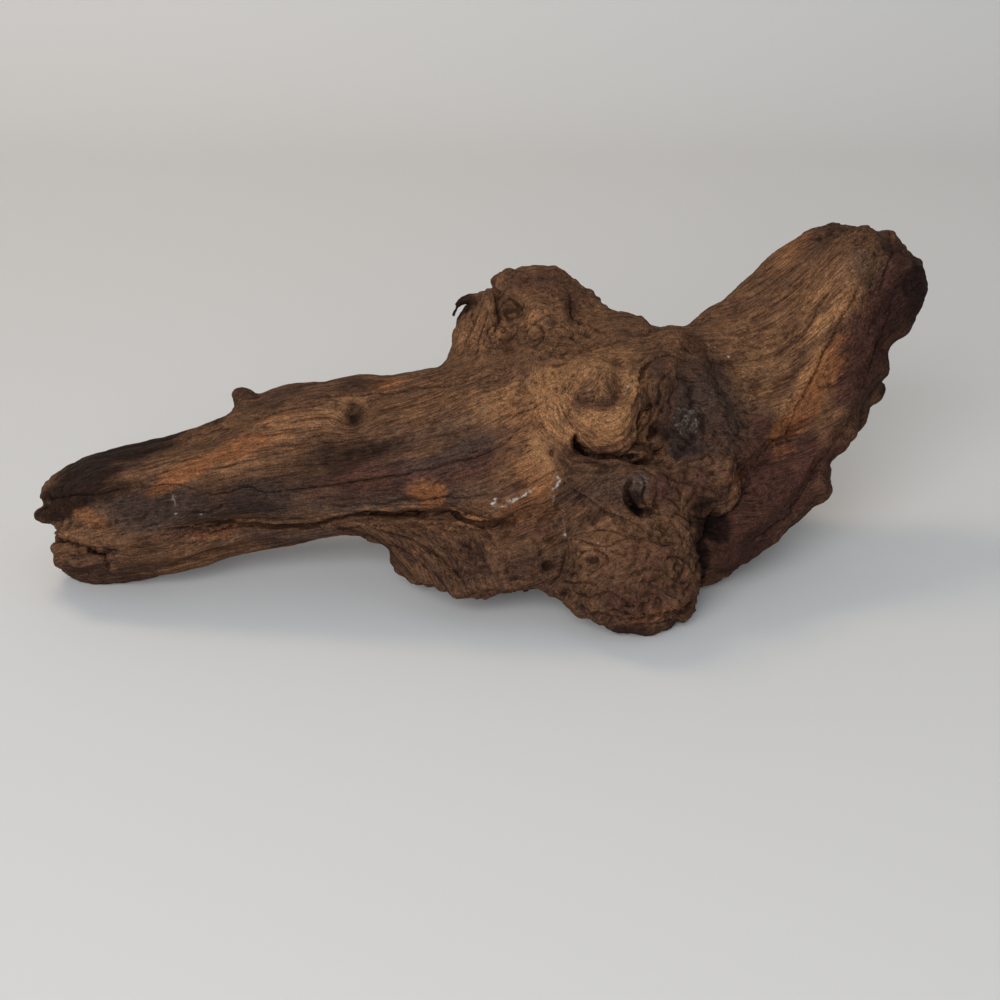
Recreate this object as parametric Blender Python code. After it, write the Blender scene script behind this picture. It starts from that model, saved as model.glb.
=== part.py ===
"""A driftwood root: one piece of weathered wood that rests on three low points.

The part frame is in metres with +Z up. The origin lies at the bottom centre of the box round the piece.

The limbs and lobes are drawn as they are seen from one viewing point, in front of the piece and above it.
A place there is (across, up, deep) in millimetres: across to the right, up the line of sight's own upright,
and deep along the line of sight. Each lobe is a loft of rings, and the lofts are fused to one skin.
"""

import math
from collections import namedtuple

import bmesh
import bpy
import numpy as np
from mathutils import Matrix, Vector, noise

MM = 0.001

# The viewing point
VIEW_DISTANCE = 560.0
VIEW_ELEVATION = math.radians(26.0)
AIM = (0.0, 0.0, 31.5)

# The skin
VOXEL = 1.5
SMOOTH_PASSES = 5
FINE_VOXEL = 1.2
FINE_PASSES = 1
FACE_BUDGET = 10000
SHORTEST_EDGE = 0.15
RING_SIDES = 36
RINGS_PER_SPAN = 5
RING_SQUARENESS = 0.85

# One ring of a loft: two outline points, the swell in front of and behind the line between them,
# and how far the front swell leans from the middle towards the first point.
Ring = namedtuple("Ring", "first second front back lean", defaults=(0.0,))

PLANK = [
    Ring((-154, 2, 10), (-153.5, -2, 9), 3, 4),
    Ring((-150.5, 6, 10), (-150, -8, 7), 9, 10),
    Ring((-140, 13.5, 12), (-139, -10, 4), 15, 15),
    Ring((-126.5, 17.5, 13), (-126, -12, 1), 18, 17),
    Ring((-110, 21.5, 13), (-110, -12, -1), 19, 19),
    Ring((-93.5, 27, 13), (-94, -9.5, -3), 19, 20),
    Ring((-80, 34, 13), (-80, -8.5, -4), 20, 21, 0.1),
    Ring((-66.5, 38.5, 13), (-66.5, -9.5, -6), 20, 22, 0.1),
    Ring((-50, 41, 13), (-50, -9, -7), 21, 23, 0.1),
    Ring((-33.5, 42, 13), (-33.5, -5.5, -9), 21, 25, 0.1),
    Ring((-16.5, 46, 13), (-16.5, -3.5, -11), 22, 28),
    Ring((0, 50, 14), (-1.5, -7, -12), 24, 30),
    Ring((20, 51.5, 14), (13.5, -5.5, -12), 26, 32),
    Ring((33.5, 50, 14), (30, 0, -10), 24, 32),
]

LOWER_BAND = [
    Ring((-155, -3.5, 6), (-155, -7.5, 6), 3, 3),
    Ring((-150, -3, 4), (-150, -10.5, 4), 7, 8),
    Ring((-143, -3, 2), (-142.5, -14, 2), 11, 12),
    Ring((-134, -2, 0), (-133.5, -17.5, 2), 13, 14),
    Ring((-126, -4, -2), (-125, -25.5, 2), 13, 16),
    Ring((-112, -6, -3), (-110, -23, 1), 11, 16),
    Ring((-97, -7, -3), (-96, -18.5, 0), 9, 15),
    Ring((-83, -6, -3), (-82, -16, 0), 8, 14),
    Ring((-67, -6, -2), (-67, -13.3, 0), 8, 14),
    Ring((-53, -5, -1), (-53, -11.5, 0), 8, 14),
    Ring((-40, -3, 0), (-40, -13, 0), 8, 14),
]

FOOT = [
    Ring((-149, -12, 9), (-149, -18, 8), 4, 4),
    Ring((-148, -10, 10), (-146, -23.5, 8), 10, 9),
    Ring((-140, -9, 12), (-138.5, -27.3, 9), 14, 12),
    Ring((-130, -9, 12), (-128.5, -28.5, 8.5), 15, 13),
    Ring((-116.5, -9, 12), (-115, -26, 8), 14, 13),
    Ring((-100, -7, 10), (-98.5, -20, 7), 12, 12),
    Ring((-86.5, -4, 9), (-85, -15, 6), 11, 12),
    Ring((-70, -2, 8), (-68.5, -11, 5), 10, 10),
]

KEEL = [
    Ring((-73.5, 0, 10), (-71.5, -11.5, 4), 10, 12),
    Ring((-60, 1.5, 8), (-58.5, -11.5, 3), 12, 14),
    Ring((-50, 3.5, 8), (-48.5, -11.5, 2), 13, 16),
    Ring((-41.5, 3.5, 8), (-40.5, -15, 0), 14, 18),
    Ring((-36, 3.5, 7), (-35, -23, -3), 15, 20),
    Ring((-25, 3.5, 6), (-24, -29.5, -7), 15, 22),
    Ring((-10, 3.5, 6), (-9, -34, -12), 16, 20),
    Ring((6.5, 6.5, 6), (7.5, -33.5, -14), 18, 20),
    Ring((20, 10, 4), (20.5, -33, -16), 18, 18),
    Ring((33.5, 13.5, 2), (35, -36, -16), 18, 17),
    Ring((50, 16.5, 2), (51.5, -36, -14), 18, 16),
]

CORE = [
    Ring((-26.5, 36.5, 14), (-25, -17, 2), 20, 26),
    Ring((-6.5, 44.5, 18), (-5, -23, 2), 22, 32),
    Ring((20, 51.5, 20), (21.5, -23, 2), 24, 34),
    Ring((46.5, 54, 20), (50, -23, 2), 24, 32),
    Ring((66.5, 54, 20), (73.5, -17, 4), 22, 28),
]

HUMP = [
    Ring((-21.5, 26.5, 8), (66.5, 23.5, 8), 28, 30),
    Ring((-20, 41.5, 12), (63, 44, 12), 25, 26),
    Ring((-8, 51.5, 18), (51, 56, 16), 21, 22),
    Ring((-4, 61.5, 21), (37, 62, 18), 17, 18),
    Ring((-2.5, 69, 22), (29, 68, 20), 13, 14),
    Ring((0.5, 73.5, 23), (22.5, 73, 21), 9, 10),
    Ring((6, 76.3, 23), (18, 76, 22), 4.5, 4.5),
]

FLAP = [
    Ring((-18.5, 44, 6), (4, 44, 0), 6, 8),
    Ring((-16.2, 51, 9), (3, 53, 5), 5, 7),
    Ring((-13.8, 58, 13), (3, 61, 10), 4, 6),
    Ring((-11.3, 63, 16), (3, 67, 14), 3, 5),
    Ring((-8.5, 66, 18), (2, 70, 18), 2, 3),
]

LOWER = [
    Ring((20, 14, -10), (70, 13, -8), 17, 20),
    Ring((18.5, -2, -14), (71, 0, -10), 17, 22),
    Ring((17, -20, -18), (66.5, -15, -13), 18, 19, -0.1),
    Ring((20, -32, -19), (67, -28, -14), 16, 14, -0.1),
    Ring((29.5, -38, -18), (63.5, -35, -14), 13, 11, -0.1),
    Ring((38.5, -42, -15), (57.5, -41.5, -13), 9, 8),
    Ring((45, -45, -12.5), (53, -45, -12), 5, 5),
]

CURL = [
    Ring((8, 56.5, 16), (58, 54, 14), 12, 6),
    Ring((11, 51, 10), (63, 52, 10), 20, 10),
    Ring((14, 42, 4), (62, 44, 4), 24, 12),
    Ring((17.5, 34, -2), (58.5, 36.5, -1), 26, 14),
    Ring((21.5, 26, -7), (54, 28.5, -6), 25, 14),
    Ring((26, 19.5, -14), (49, 21.5, -13), 18, 12),
    Ring((31, 15.8, -20), (44, 16.3, -19), 11, 8),
    Ring((35, 14.4, -24), (40.5, 14.6, -24), 5, 4),
]

BROW = [
    Ring((42, 53, 16), (70, 52.5, 16), 12, 6),
    Ring((44, 46, 8), (77, 45, 9), 18, 10),
    Ring((46, 36, 3), (81.5, 33, 6), 20, 12),
    Ring((46, 24, 0), (82.5, 21, 4), 22, 12),
    Ring((44, 12, -2), (81.5, 9, 2), 22, 12),
    Ring((44, 2, -4), (78.5, 1, 0), 20, 10),
    Ring((48, -8, -5), (73, -6, -2), 14, 8),
]

RIGHT_LIMB = [
    Ring((33.5, 52, 12), (46.5, -28, -2), 24, 30),
    Ring((46.5, 54, 14), (66.5, -28.5, 0), 25, 27),
    Ring((63.5, 56.5, 17), (79.5, -22.5, 3), 23, 26, -0.15),
    Ring((75, 64, 21), (92, -13, 10), 21, 26, -0.2),
    Ring((84, 73, 25), (107, 5, 18), 20, 25, -0.25),
    Ring((92.5, 82, 27), (118, 26, 20), 20, 23, -0.25),
    Ring((103, 88.5, 28), (129, 46, 22), 19, 21, -0.2),
    Ring((113, 91, 28), (138, 59.5, 23), 17, 19, -0.1),
    Ring((122, 92.3, 27), (142.5, 69, 24), 14, 15),
    Ring((129.5, 90, 27), (143.8, 76, 25), 9, 10),
    Ring((134.5, 86, 26), (142.5, 81, 25), 5, 5),
]

# Round strands that are fused in: each point is (across, up, deep, thickness)
STRANDS = {
    "rear_foot": [(24, 18, 46, 15), (32, 10, 50, 13), (37, 1, 53, 11), (40, -8.5, 53.5, 10)],
    "back_left": [(-140, 1, 16, 6), (-112, 5, 22, 10), (-76, 14, 26, 12), (-38, 20, 32, 15), (0, 22, 40, 18)],
    "back_right": [(130, 74, 33, 8), (118, 62, 36, 12), (103, 42, 38, 14), (84, 20, 38, 17), (58, 6, 38, 20)],
}

# The thin splinter that stands off the flap: (across, up, deep, thickness)
SPLINTER = [
    (-6, 65, 15, 1.5),
    (-9, 66.8, 14.5, 1.3),
    (-12, 66.6, 14, 1.1),
    (-14.3, 64.5, 13.5, 0.9),
    (-16, 61.5, 13, 0.6),
]

# Rounded lumps that are fused in: the centre (across, up, deep), then the three half sizes
KNOBS = {
    "upper_nub": ((-84.5, 34, 14), (5.2, 4.8, 5.5)),
    "edge_lump": ((119.5, 35, 25), (8.5, 12, 11)),
    "edge_nub": ((108, 5, 20), (3, 4, 5)),
    "shoulder": ((134, 76, 22), (7.5, 8, 10)),
    "brow_knob": ((76, 4, -8), (5.5, 8.5, 8)),
    "toe": ((60, -36, -12), (7, 5.5, 9)),
    "back_burl": ((66, 36, 44), (22, 18, 14)),
    "back_stub": ((-26, 30, 36), (15, 12, 14)),
}

# Soft ridges and grooves on the side that faces the viewing point: how far each reaches to its sides, then its
# line (across, up, height); a height under nought is a groove
FRONT_CRESTS = {
    "limb_crest": (7, [(74, 14, 1), (88, 22, 3), (103, 38, 4.5), (113, 58, 4), (119, 76, 2)]),
    "limb_valley": (7, [(70, 42, -0.5), (84, 44, -3.5), (95, 58, -4), (104, 78, -1)]),
    "limb_outer": (6, [(70, -16, 1), (86, -6, 2.5), (100, 10, 3), (112, 30, 2)]),
    "limb_fold": (5, [(72, 0, -1), (88, 8, -3), (101, 22, -3), (111, 44, -2)]),
    "limb_upper": (6, [(74, 58, 0.5), (90, 66, 2), (104, 80, 2.5), (118, 88, 1)]),
    "limb_end": (6, [(122, 60, 0), (127, 72, -3), (128, 84, -2)]),
    "plank_upper": (6, [(-140, 8, 0.5), (-105, 14, 2), (-70, 26, 2.5), (-35, 30, 2), (0, 38, 1)]),
    "plank_hollow": (6, [(-115, 8, -1), (-80, 17, -2), (-45, 20, -2), (-10, 26, -1)]),
    "plank_lower": (6, [(-138, 0, 0.5), (-100, 2, 2.5), (-60, 4, 2), (-25, 8, 2), (8, 16, 1.5), (18, 24, 1)]),
    "fan_outer": (2.6, [(-46, -9, 0.5), (-33, -14, 2), (-24, -22, 2), (-18, -29, 1)]),
    "fan_middle": (2.6, [(-42, -8, 0.5), (-24, -13, 2), (-12, -20, 2), (-5, -29, 1)]),
    "fan_inner": (2.8, [(-36, -6, 0.5), (-12, -11, 2), (2, -17, 2), (9, -26, 1)]),
    "lower_fold": (4, [(16, -4, -1), (17, -14, -2.5), (18, -24, -2), (22, -34, -1)]),
    "lower_seam": (4, [(26, -2, -1), (40, -9, -2.5), (54, -9, -2.5), (66, -2, -1)]),
    "lower_belly": (8, [(24, -18, 1), (40, -22, 3), (56, -20, 3), (66, -14, 1)]),
    "curl_ring": (3, [(14, 44, 0.5), (18, 33, 1.6), (27, 26, 2), (38, 27, 2), (47, 34, 1.6), (52, 44, 0.5)]),
    "curl_dent": (4, [(26, 46, -1), (30, 36, -2.5), (36, 34, -2.5), (42, 42, -1)]),
    "curl_rim": (2.5, [(58, 50, 1), (56.5, 41, 2), (53, 33, 2), (49, 25, 1.5), (43, 18, 1)]),
    "rim_foot": (3, [(63, 47, -0.5), (60, 38, -2), (56, 30, -2.5), (52, 24, -2)]),
    "brow_seam": (3.5, [(54, 12, -1), (64, 9, -2.5), (72, 14, -1)]),
    "brow_side": (5, [(70, 40, 1), (73, 26, 2.5), (74, 14, 2)]),
    "flap_edge": (3, [(1, 68, -0.5), (2, 58, -3), (3, 47, -1)]),
    "hump_fold": (5, [(10, 72, 1), (14, 62, 2.5), (10, 52, 1.5)]),
    "hump_dip": (6, [(24, 68, -1), (30, 56, -3), (42, 48, -2)]),
}

# The same on the side that faces away
BACK_CRESTS = {
    "ridge_long": (6, [(-140, 4, 1), (-100, 10, 3), (-60, 20, 3.5), (-20, 26, 3), (20, 34, 1)]),
    "groove_long": (5, [(-120, 0, -1), (-84, 6, -3), (-48, 10, -3.5), (-10, 12, -2)]),
    "hump_spine": (7, [(14, 76, 1), (22, 62, 4), (34, 46, 4), (48, 30, 2)]),
    "hump_groove": (5, [(0, 62, -1), (8, 48, -3), (16, 34, -3), (20, 20, -1)]),
    "limb_spine": (6, [(132, 82, 1), (118, 70, 3), (100, 54, 4), (82, 38, 3), (62, 24, 1)]),
    "limb_groove": (5, [(128, 66, -1), (110, 44, -3), (94, 26, -3.5), (76, 10, -1)]),
    "low_groove": (5, [(-30, -12, -1), (0, -16, -3), (30, -20, -3), (60, -16, -1)]),
}

# Steps, with the wood above the line standing out over the wood below it: the reach, then (across, up, height)
LEDGES = {
    "plank_ledge": (5, [(-108, -7, 0.3), (-84, -7.5, 1.2), (-60, -8, 1.5), (-40, -4, 1.6), (-14, -4, 1.8), (0, -7, 1)]),
    "plank_edge": (4, [(-150, -4, 1.0), (-135, -7, 1.2), (-120, -12, 1.0), (-108, -20, 0.4)]),
    "toe_edge": (3, [(40, -36, 0.5), (50, -38, 1.2), (62, -35, 1.2)]),
}

# How fast the ridges of one side fade out where the skin turns to the other side
FACING_GAIN = 1.6

# How far the whole skin is drawn in, so that the relief stays inside the drawn outlines
DRAW_IN = 1.0

# Bowls in the side that faces the viewing point: centre (across, up), half sizes, how deep they go
HOLLOWS = {
    "dark_pocket": ((51.5, 23.5), (4.2, 6), 11),
    "grey_bowl": ((61, 26), (10, 12), 3.5),
    "socket": ((46.5, 4), (3.6, 5.5), 8),
    "socket_foot": ((50, -2), (5, 3), 4),
    "knot_hole": ((-49.5, 28), (4, 4), 3),
    "keel_dip": ((16, -20), (4, 10), 3),
    "hump_eye": ((3, 64), (4, 5), 4),
    "flank_gap": ((71, -14), (4, 12), 4),
}

# Bites out of the outline: centre (across, up, deep), half sizes, how deep they go
BITES = {
    "tip_upper": ((-153, -1.5, 9), (5, 2, 12), 5),
    "tip_lower": ((-148.5, -10, 14), (5, 1.8, 14), 5),
    "limb_notch": ((132, 50, 22), (5, 4, 20), 4),
    "limb_low_notch": ((117, 20, 18), (4, 3, 16), 3),
    "limb_top_notch": ((133, 86, 24), (3, 3, 14), 3),
    "keel_notch": ((30, -41, -12), (3, 3, 14), 3),
}

# The slit under the overhanging lip of the curl
SLIT = [
    Ring((24, 22.4, -28), (23.3, 21, -28), 8, 4),
    Ring((26.6, 21.3, -28), (24.8, 18.7, -28), 9, 9),
    Ring((29, 18.6, -28), (27.8, 15.5, -28), 10, 11),
    Ring((32, 16.5, -28), (31.5, 13.8, -28), 10, 12),
    Ring((37, 15.6, -28), (37, 13.7, -28), 10, 12),
    Ring((43, 15.2, -28), (43, 13.8, -28), 10, 10),
    Ring((49, 14.8, -26), (49, 14.1, -26), 9, 6),
]

LOBES = {
    "plank": PLANK,
    "lower_band": LOWER_BAND,
    "foot": FOOT,
    "keel": KEEL,
    "core": CORE,
    "hump": HUMP,
    "flap": FLAP,
    "lower": LOWER,
    "curl": CURL,
    "brow": BROW,
    "right_limb": RIGHT_LIMB,
}

# Relief that the grain raises all over: waves per millimetre along and across it, and its height
GRAIN_RELIEF = [(0.012, 0.065, 4.5), (0.028, 0.15, 2.4)]
# Rounder relief in the burl: waves per millimetre and height
BURL_RELIEF = [(0.055, 4.5), (0.12, 2.2)]
BURL_CENTRE = (32, 22)
BURL_REACH = 52.0
# How much of the grain's relief is lost in the middle of the burl
BURL_CALM = 0.7

# The wood
WOOD_COLOUR = (0.115, 0.052, 0.028, 1.0)
WOOD_ROUGHNESS = 0.85

# The way that the grain runs, seen from the viewing point (across, up)
GRAIN_LINE = [(-160, -6), (-110, 2), (-60, 13), (-10, 22), (40, 14), (75, 18), (100, 40), (145, 95)]


def clear_scene():
    for thing in list(bpy.data.objects):
        bpy.data.objects.remove(thing, do_unlink=True)


def sight_to_part(places):
    """Turns (across, up, deep) rows, in millimetres, to part-frame rows in millimetres."""
    across, up, deep = np.asarray(places, float).T
    spread = 1.0 + deep / VIEW_DISTANCE
    sine, cosine = math.sin(VIEW_ELEVATION), math.cos(VIEW_ELEVATION)
    x = AIM[0] + across * spread
    y = AIM[1] + up * spread * sine + deep * cosine
    z = AIM[2] + up * spread * cosine - deep * sine
    return np.column_stack([x, y, z])


def part_to_sight(points):
    """The reverse of sight_to_part."""
    x, y, z = (np.asarray(points, float) - AIM).T
    sine, cosine = math.sin(VIEW_ELEVATION), math.cos(VIEW_ELEVATION)
    deep = y * cosine - z * sine
    spread = 1.0 + deep / VIEW_DISTANCE
    return np.column_stack([x / spread, (y * sine + z * cosine) / spread, deep])


def smooth_between(rows, steps):
    """A Catmull-Rom curve through the rows, with that many steps between each two."""
    rows = np.asarray(rows, float)
    padded = np.vstack([2 * rows[0] - rows[1], rows, 2 * rows[-1] - rows[-2]])
    found = []
    for before, start, end, after in zip(padded, padded[1:], padded[2:], padded[3:]):
        for t in np.arange(steps) / steps:
            found.append(
                0.5
                * (
                    2 * start
                    + (end - before) * t
                    + (2 * before - 5 * start + 4 * end - after) * t**2
                    + (3 * start - before - 3 * end + after) * t**3
                )
            )
    found.append(rows[-1])
    return np.array(found)


def add_object(name, mesh):
    thing = bpy.data.objects.new(name, mesh)
    bpy.context.scene.collection.objects.link(thing)
    return thing


def ring_points(row):
    """The corner points of one ring, from a row of the nine numbers that a Ring holds."""
    first, second, (front, back, lean) = row[0:3], row[3:6], row[6:9]
    middle, half = (first + second) / 2, (first - second) / 2
    turn = np.linspace(0, 2 * math.pi, RING_SIDES, endpoint=False)
    along, towards = (np.sign(part) * np.abs(part) ** RING_SQUARENESS for part in (np.cos(turn), np.sin(turn)))
    swell = np.where(towards > 0, front, back)
    slip = np.where(towards > 0, lean * towards, 0.0)
    points = middle + np.outer(along + slip, half)
    points[:, 2] -= swell * towards
    return points


def lobe_object(name, rings):
    """A closed loft through the rings, in their order."""
    rows = [np.hstack([r.first, r.second, (r.front, r.back, r.lean)]) for r in rings]
    bm = bmesh.new()
    loops = []
    for row in smooth_between(rows, RINGS_PER_SPAN):
        corners = sight_to_part(ring_points(row)) * MM
        loops.append([bm.verts.new(c) for c in corners])
    for low, high in zip(loops, loops[1:]):
        for i in range(RING_SIDES):
            j = (i + 1) % RING_SIDES
            bm.faces.new((low[i], low[j], high[j], high[i]))
    bm.faces.new(loops[0])
    bm.faces.new(loops[-1])
    bmesh.ops.recalc_face_normals(bm, faces=bm.faces)
    mesh = bpy.data.meshes.new(name)
    bm.to_mesh(mesh)
    bm.free()
    return add_object(name, mesh)


def strand_object(name, points):
    """A round strand along a smooth line."""
    rows = smooth_between(points, RINGS_PER_SPAN)
    places = sight_to_part(rows[:, :3]) * MM
    curve = bpy.data.curves.new(name, "CURVE")
    curve.dimensions = "3D"
    curve.bevel_depth = MM
    curve.bevel_resolution = 4
    curve.use_fill_caps = True
    spline = curve.splines.new("POLY")
    spline.points.add(len(rows) - 1)
    for point, place, row in zip(spline.points, places, rows):
        point.co = (*place, 1)
        point.radius = row[3]
    strand = add_object(name, curve)
    mesh = evaluated_mesh(strand)
    bpy.data.objects.remove(strand)
    return add_object(name, mesh)


def knob_object(name, centre, half_sizes):
    bm = bmesh.new()
    bmesh.ops.create_icosphere(bm, subdivisions=4, radius=1.0)
    for vert in bm.verts:
        place = np.array(centre) + np.array(vert.co) * half_sizes
        vert.co = sight_to_part([place])[0] * MM
    bmesh.ops.recalc_face_normals(bm, faces=bm.faces)
    mesh = bpy.data.meshes.new(name)
    bm.to_mesh(mesh)
    bm.free()
    return add_object(name, mesh)


def evaluated_mesh(thing):
    """The thing's mesh with its modifiers applied."""
    graph = bpy.context.evaluated_depsgraph_get()
    return bpy.data.meshes.new_from_object(thing.evaluated_get(graph))


def apply_modifiers(thing):
    thing.data = evaluated_mesh(thing)
    thing.modifiers.clear()


def melt(root, voxel, passes):
    """Gives the root one new skin of squares and softens it."""
    skin = root.modifiers.new("skin", "REMESH")
    skin.mode = "VOXEL"
    skin.voxel_size = voxel * MM
    soften = root.modifiers.new("soften", "SMOOTH")
    soften.factor = 0.5
    soften.iterations = passes
    apply_modifiers(root)


def fuse(lobes):
    """Joins the lobes in one object and melts them to one skin."""
    bm = bmesh.new()
    for thing in lobes:
        bm.from_mesh(thing.data)
        bpy.data.objects.remove(thing)
    mesh = bpy.data.meshes.new("driftwood_root")
    bm.to_mesh(mesh)
    bm.free()
    root = add_object("driftwood_root", mesh)
    melt(root, VOXEL, SMOOTH_PASSES)
    return root


def nearest_on_line(spots, line):
    """For each spot: its distance to the line, its side (1 above the line) and the line's height beside it."""
    far = np.full(len(spots), np.inf)
    side, height = np.zeros(len(spots)), np.zeros(len(spots))
    for start, end in zip(np.array(line[:-1], float), np.array(line[1:], float)):
        run = (end - start)[:2]
        part = np.clip((spots - start[:2]) @ run / (run @ run), 0, 1)
        gap = spots - start[:2] - np.outer(part, run)
        length = np.hypot(*gap.T)
        closer = length < far
        far = np.where(closer, length, far)
        side = np.where(closer, np.sign(run[0] * gap[:, 1] - run[1] * gap[:, 0]), side)
        height = np.where(closer, start[2] + (end[2] - start[2]) * part, height)
    return far, side, height


def noise_at(spots):
    return np.array([noise.noise(Vector(spot)) for spot in spots])


def relief_heights(sight, normals):
    """How far each point of the skin is raised along its normal, in millimetres."""
    across, up, deep = sight.T
    spots = sight[:, :2]
    xs, heights = zip(*GRAIN_LINE)
    beside = up - np.interp(across, xs, heights)
    burl = np.exp(-((across - BURL_CENTRE[0]) ** 2 + (up - BURL_CENTRE[1]) ** 2) / BURL_REACH**2)
    raised = np.full(len(sight), -DRAW_IN)
    for layer, (slow, fast, height) in enumerate(GRAIN_RELIEF):
        waves = np.column_stack([across * slow + layer, beside * fast, deep * fast])
        raised += (1 - BURL_CALM * burl) * height * noise_at(waves)
    for pitch, height in BURL_RELIEF:
        raised += burl * height * noise_at(sight * pitch)
    towards = normals @ sight_direction()
    front, back = np.clip(-FACING_GAIN * towards, 0, 1), np.clip(FACING_GAIN * towards, 0, 1)
    for crests, facing in ((FRONT_CRESTS, front), (BACK_CRESTS, back)):
        for reach, line in crests.values():
            far, side, height = nearest_on_line(spots, line)
            raised += facing * height * np.exp(-((far / reach) ** 2))
    for reach, line in LEDGES.values():
        far, side, height = nearest_on_line(spots, line)
        raised += front * height * side * np.exp(-far / reach)
    for centre, half_sizes, depth in HOLLOWS.values():
        away = (((spots - centre) / half_sizes) ** 2).sum(1)
        raised -= depth * np.exp(-away) * front
    for centre, half_sizes, depth in BITES.values():
        raised -= depth * np.exp(-(((sight - centre) / half_sizes) ** 2).sum(1))
    return raised


def sight_direction():
    return np.array([0.0, math.cos(VIEW_ELEVATION), -math.sin(VIEW_ELEVATION)])


def raise_relief(root):
    """Moves the skin's points along their normals, by the relief's heights."""
    mesh = root.data
    count = len(mesh.vertices)
    points, normals = np.empty(count * 3), np.empty(count * 3)
    mesh.vertices.foreach_get("co", points)
    mesh.vertices.foreach_get("normal", normals)
    points, normals = points.reshape(-1, 3) / MM, normals.reshape(-1, 3)
    points += normals * relief_heights(part_to_sight(points), normals)[:, None]
    mesh.vertices.foreach_set("co", (points * MM).ravel())
    mesh.update()


def thin_out(root):
    """Brings the skin under its budget of triangles."""
    bm = bmesh.new()
    bm.from_mesh(root.data)
    bmesh.ops.triangulate(bm, faces=bm.faces)
    count = len(bm.faces)
    bm.to_mesh(root.data)
    bm.free()
    thin = root.modifiers.new("thin", "DECIMATE")
    thin.ratio = FACE_BUDGET / count
    apply_modifiers(root)


def combine(root, other, operation):
    """Joins the other object's space to the root, or takes it out."""
    change = root.modifiers.new("change", "BOOLEAN")
    change.operation = operation
    change.object = other
    apply_modifiers(root)
    bpy.data.objects.remove(other)


def floor_block():
    """The space under the surface that the piece rests on."""
    bm = bmesh.new()
    bmesh.ops.create_cube(bm, size=1.0)
    bmesh.ops.translate(bm, verts=bm.verts, vec=(0, 0, -0.5))
    mesh = bpy.data.meshes.new("floor_block")
    bm.to_mesh(mesh)
    bm.free()
    return add_object("floor_block", mesh)


def drop_slivers(root):
    """Melts the shortest edges away."""
    bm = bmesh.new()
    bm.from_mesh(root.data)
    bmesh.ops.triangulate(bm, faces=bm.faces)
    bmesh.ops.dissolve_degenerate(bm, dist=SHORTEST_EDGE * MM, edges=bm.edges)
    bmesh.ops.triangulate(bm, faces=bm.faces)
    bm.to_mesh(root.data)
    bm.free()


def centre_on_origin(root):
    """Puts the origin at the bottom centre of the box round the root."""
    points = np.array([vert.co for vert in root.data.vertices])
    middle = (points.min(0) + points.max(0)) / 2
    root.data.transform(Matrix.Translation((-middle[0], -middle[1], 0)))
    return middle


def old_wood():
    """Dark brown, dry and rough."""
    wood = bpy.data.materials.new("old_wood")
    wood.use_nodes = True
    shader = wood.node_tree.nodes["Principled BSDF"]
    shader.inputs["Base Color"].default_value = WOOD_COLOUR
    shader.inputs["Roughness"].default_value = WOOD_ROUGHNESS
    shader.inputs["Metallic"].default_value = 0.0
    return wood


def main():
    clear_scene()
    lobes = [lobe_object(name, rings) for name, rings in LOBES.items()]
    lobes += [strand_object(name, points) for name, points in STRANDS.items()]
    lobes += [knob_object(name, *shape) for name, shape in KNOBS.items()]
    root = fuse(lobes)
    raise_relief(root)
    melt(root, FINE_VOXEL, FINE_PASSES)
    thin_out(root)
    combine(root, strand_object("splinter", SPLINTER), "UNION")
    combine(root, lobe_object("slit", SLIT), "DIFFERENCE")
    combine(root, floor_block(), "DIFFERENCE")
    drop_slivers(root)
    middle = centre_on_origin(root)
    root.data.materials.clear()
    root.data.materials.append(old_wood())
    root.data.shade_smooth()
    return middle


# The middle of the box before the origin was put there
BOX_MIDDLE = main()
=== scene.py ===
"""Driftwood root on a pale floor.

Lengths are in millimetres and are turned to metres where Blender needs them. A sight place (across, up,
deep) is measured from the point that the camera aims at: to the right, up its own upright, and along its
line of sight. A spot is the (across, up) of such a place.
"""

import math

import bmesh
import bpy
import numpy as np
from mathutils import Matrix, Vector, noise


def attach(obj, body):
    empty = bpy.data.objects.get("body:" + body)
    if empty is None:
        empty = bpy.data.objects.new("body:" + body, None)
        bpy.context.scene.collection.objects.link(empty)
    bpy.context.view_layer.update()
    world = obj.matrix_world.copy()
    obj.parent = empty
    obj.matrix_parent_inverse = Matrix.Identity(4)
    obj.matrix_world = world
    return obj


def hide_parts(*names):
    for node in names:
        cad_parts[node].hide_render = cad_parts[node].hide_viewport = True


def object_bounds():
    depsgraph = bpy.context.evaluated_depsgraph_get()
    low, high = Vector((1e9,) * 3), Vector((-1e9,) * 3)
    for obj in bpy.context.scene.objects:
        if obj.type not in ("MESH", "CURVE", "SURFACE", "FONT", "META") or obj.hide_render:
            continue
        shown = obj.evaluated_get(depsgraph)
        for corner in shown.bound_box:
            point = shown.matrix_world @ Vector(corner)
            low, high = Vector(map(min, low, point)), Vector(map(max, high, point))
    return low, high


MM = 0.001

# Camera
VIEW_DISTANCE = 560.0
VIEW_ELEVATION = math.radians(26.0)
AIM = np.array([3.865, -18.182, 31.5])
# Half of what the camera sees across, where it aims
HALF_VIEW = 500 / 3
SENSOR = 36.0

# The fine skin
WELD = 0.001
FINE_VOXEL = 0.62
FACET_ROUNDS = 32
# How far a round of smoothing draws in, and how far the next one swells out
DRAW_IN, SWELL_OUT = 0.5, -0.52
TRIANGLE_LIMIT = 196000
BOX_MARGIN = 0.01

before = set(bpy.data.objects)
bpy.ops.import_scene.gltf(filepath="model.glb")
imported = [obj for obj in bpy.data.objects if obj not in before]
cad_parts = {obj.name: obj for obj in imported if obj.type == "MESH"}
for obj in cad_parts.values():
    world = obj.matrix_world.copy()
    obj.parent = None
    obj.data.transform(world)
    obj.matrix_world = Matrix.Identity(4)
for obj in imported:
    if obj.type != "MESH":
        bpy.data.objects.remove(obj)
cad_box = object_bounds()

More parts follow.
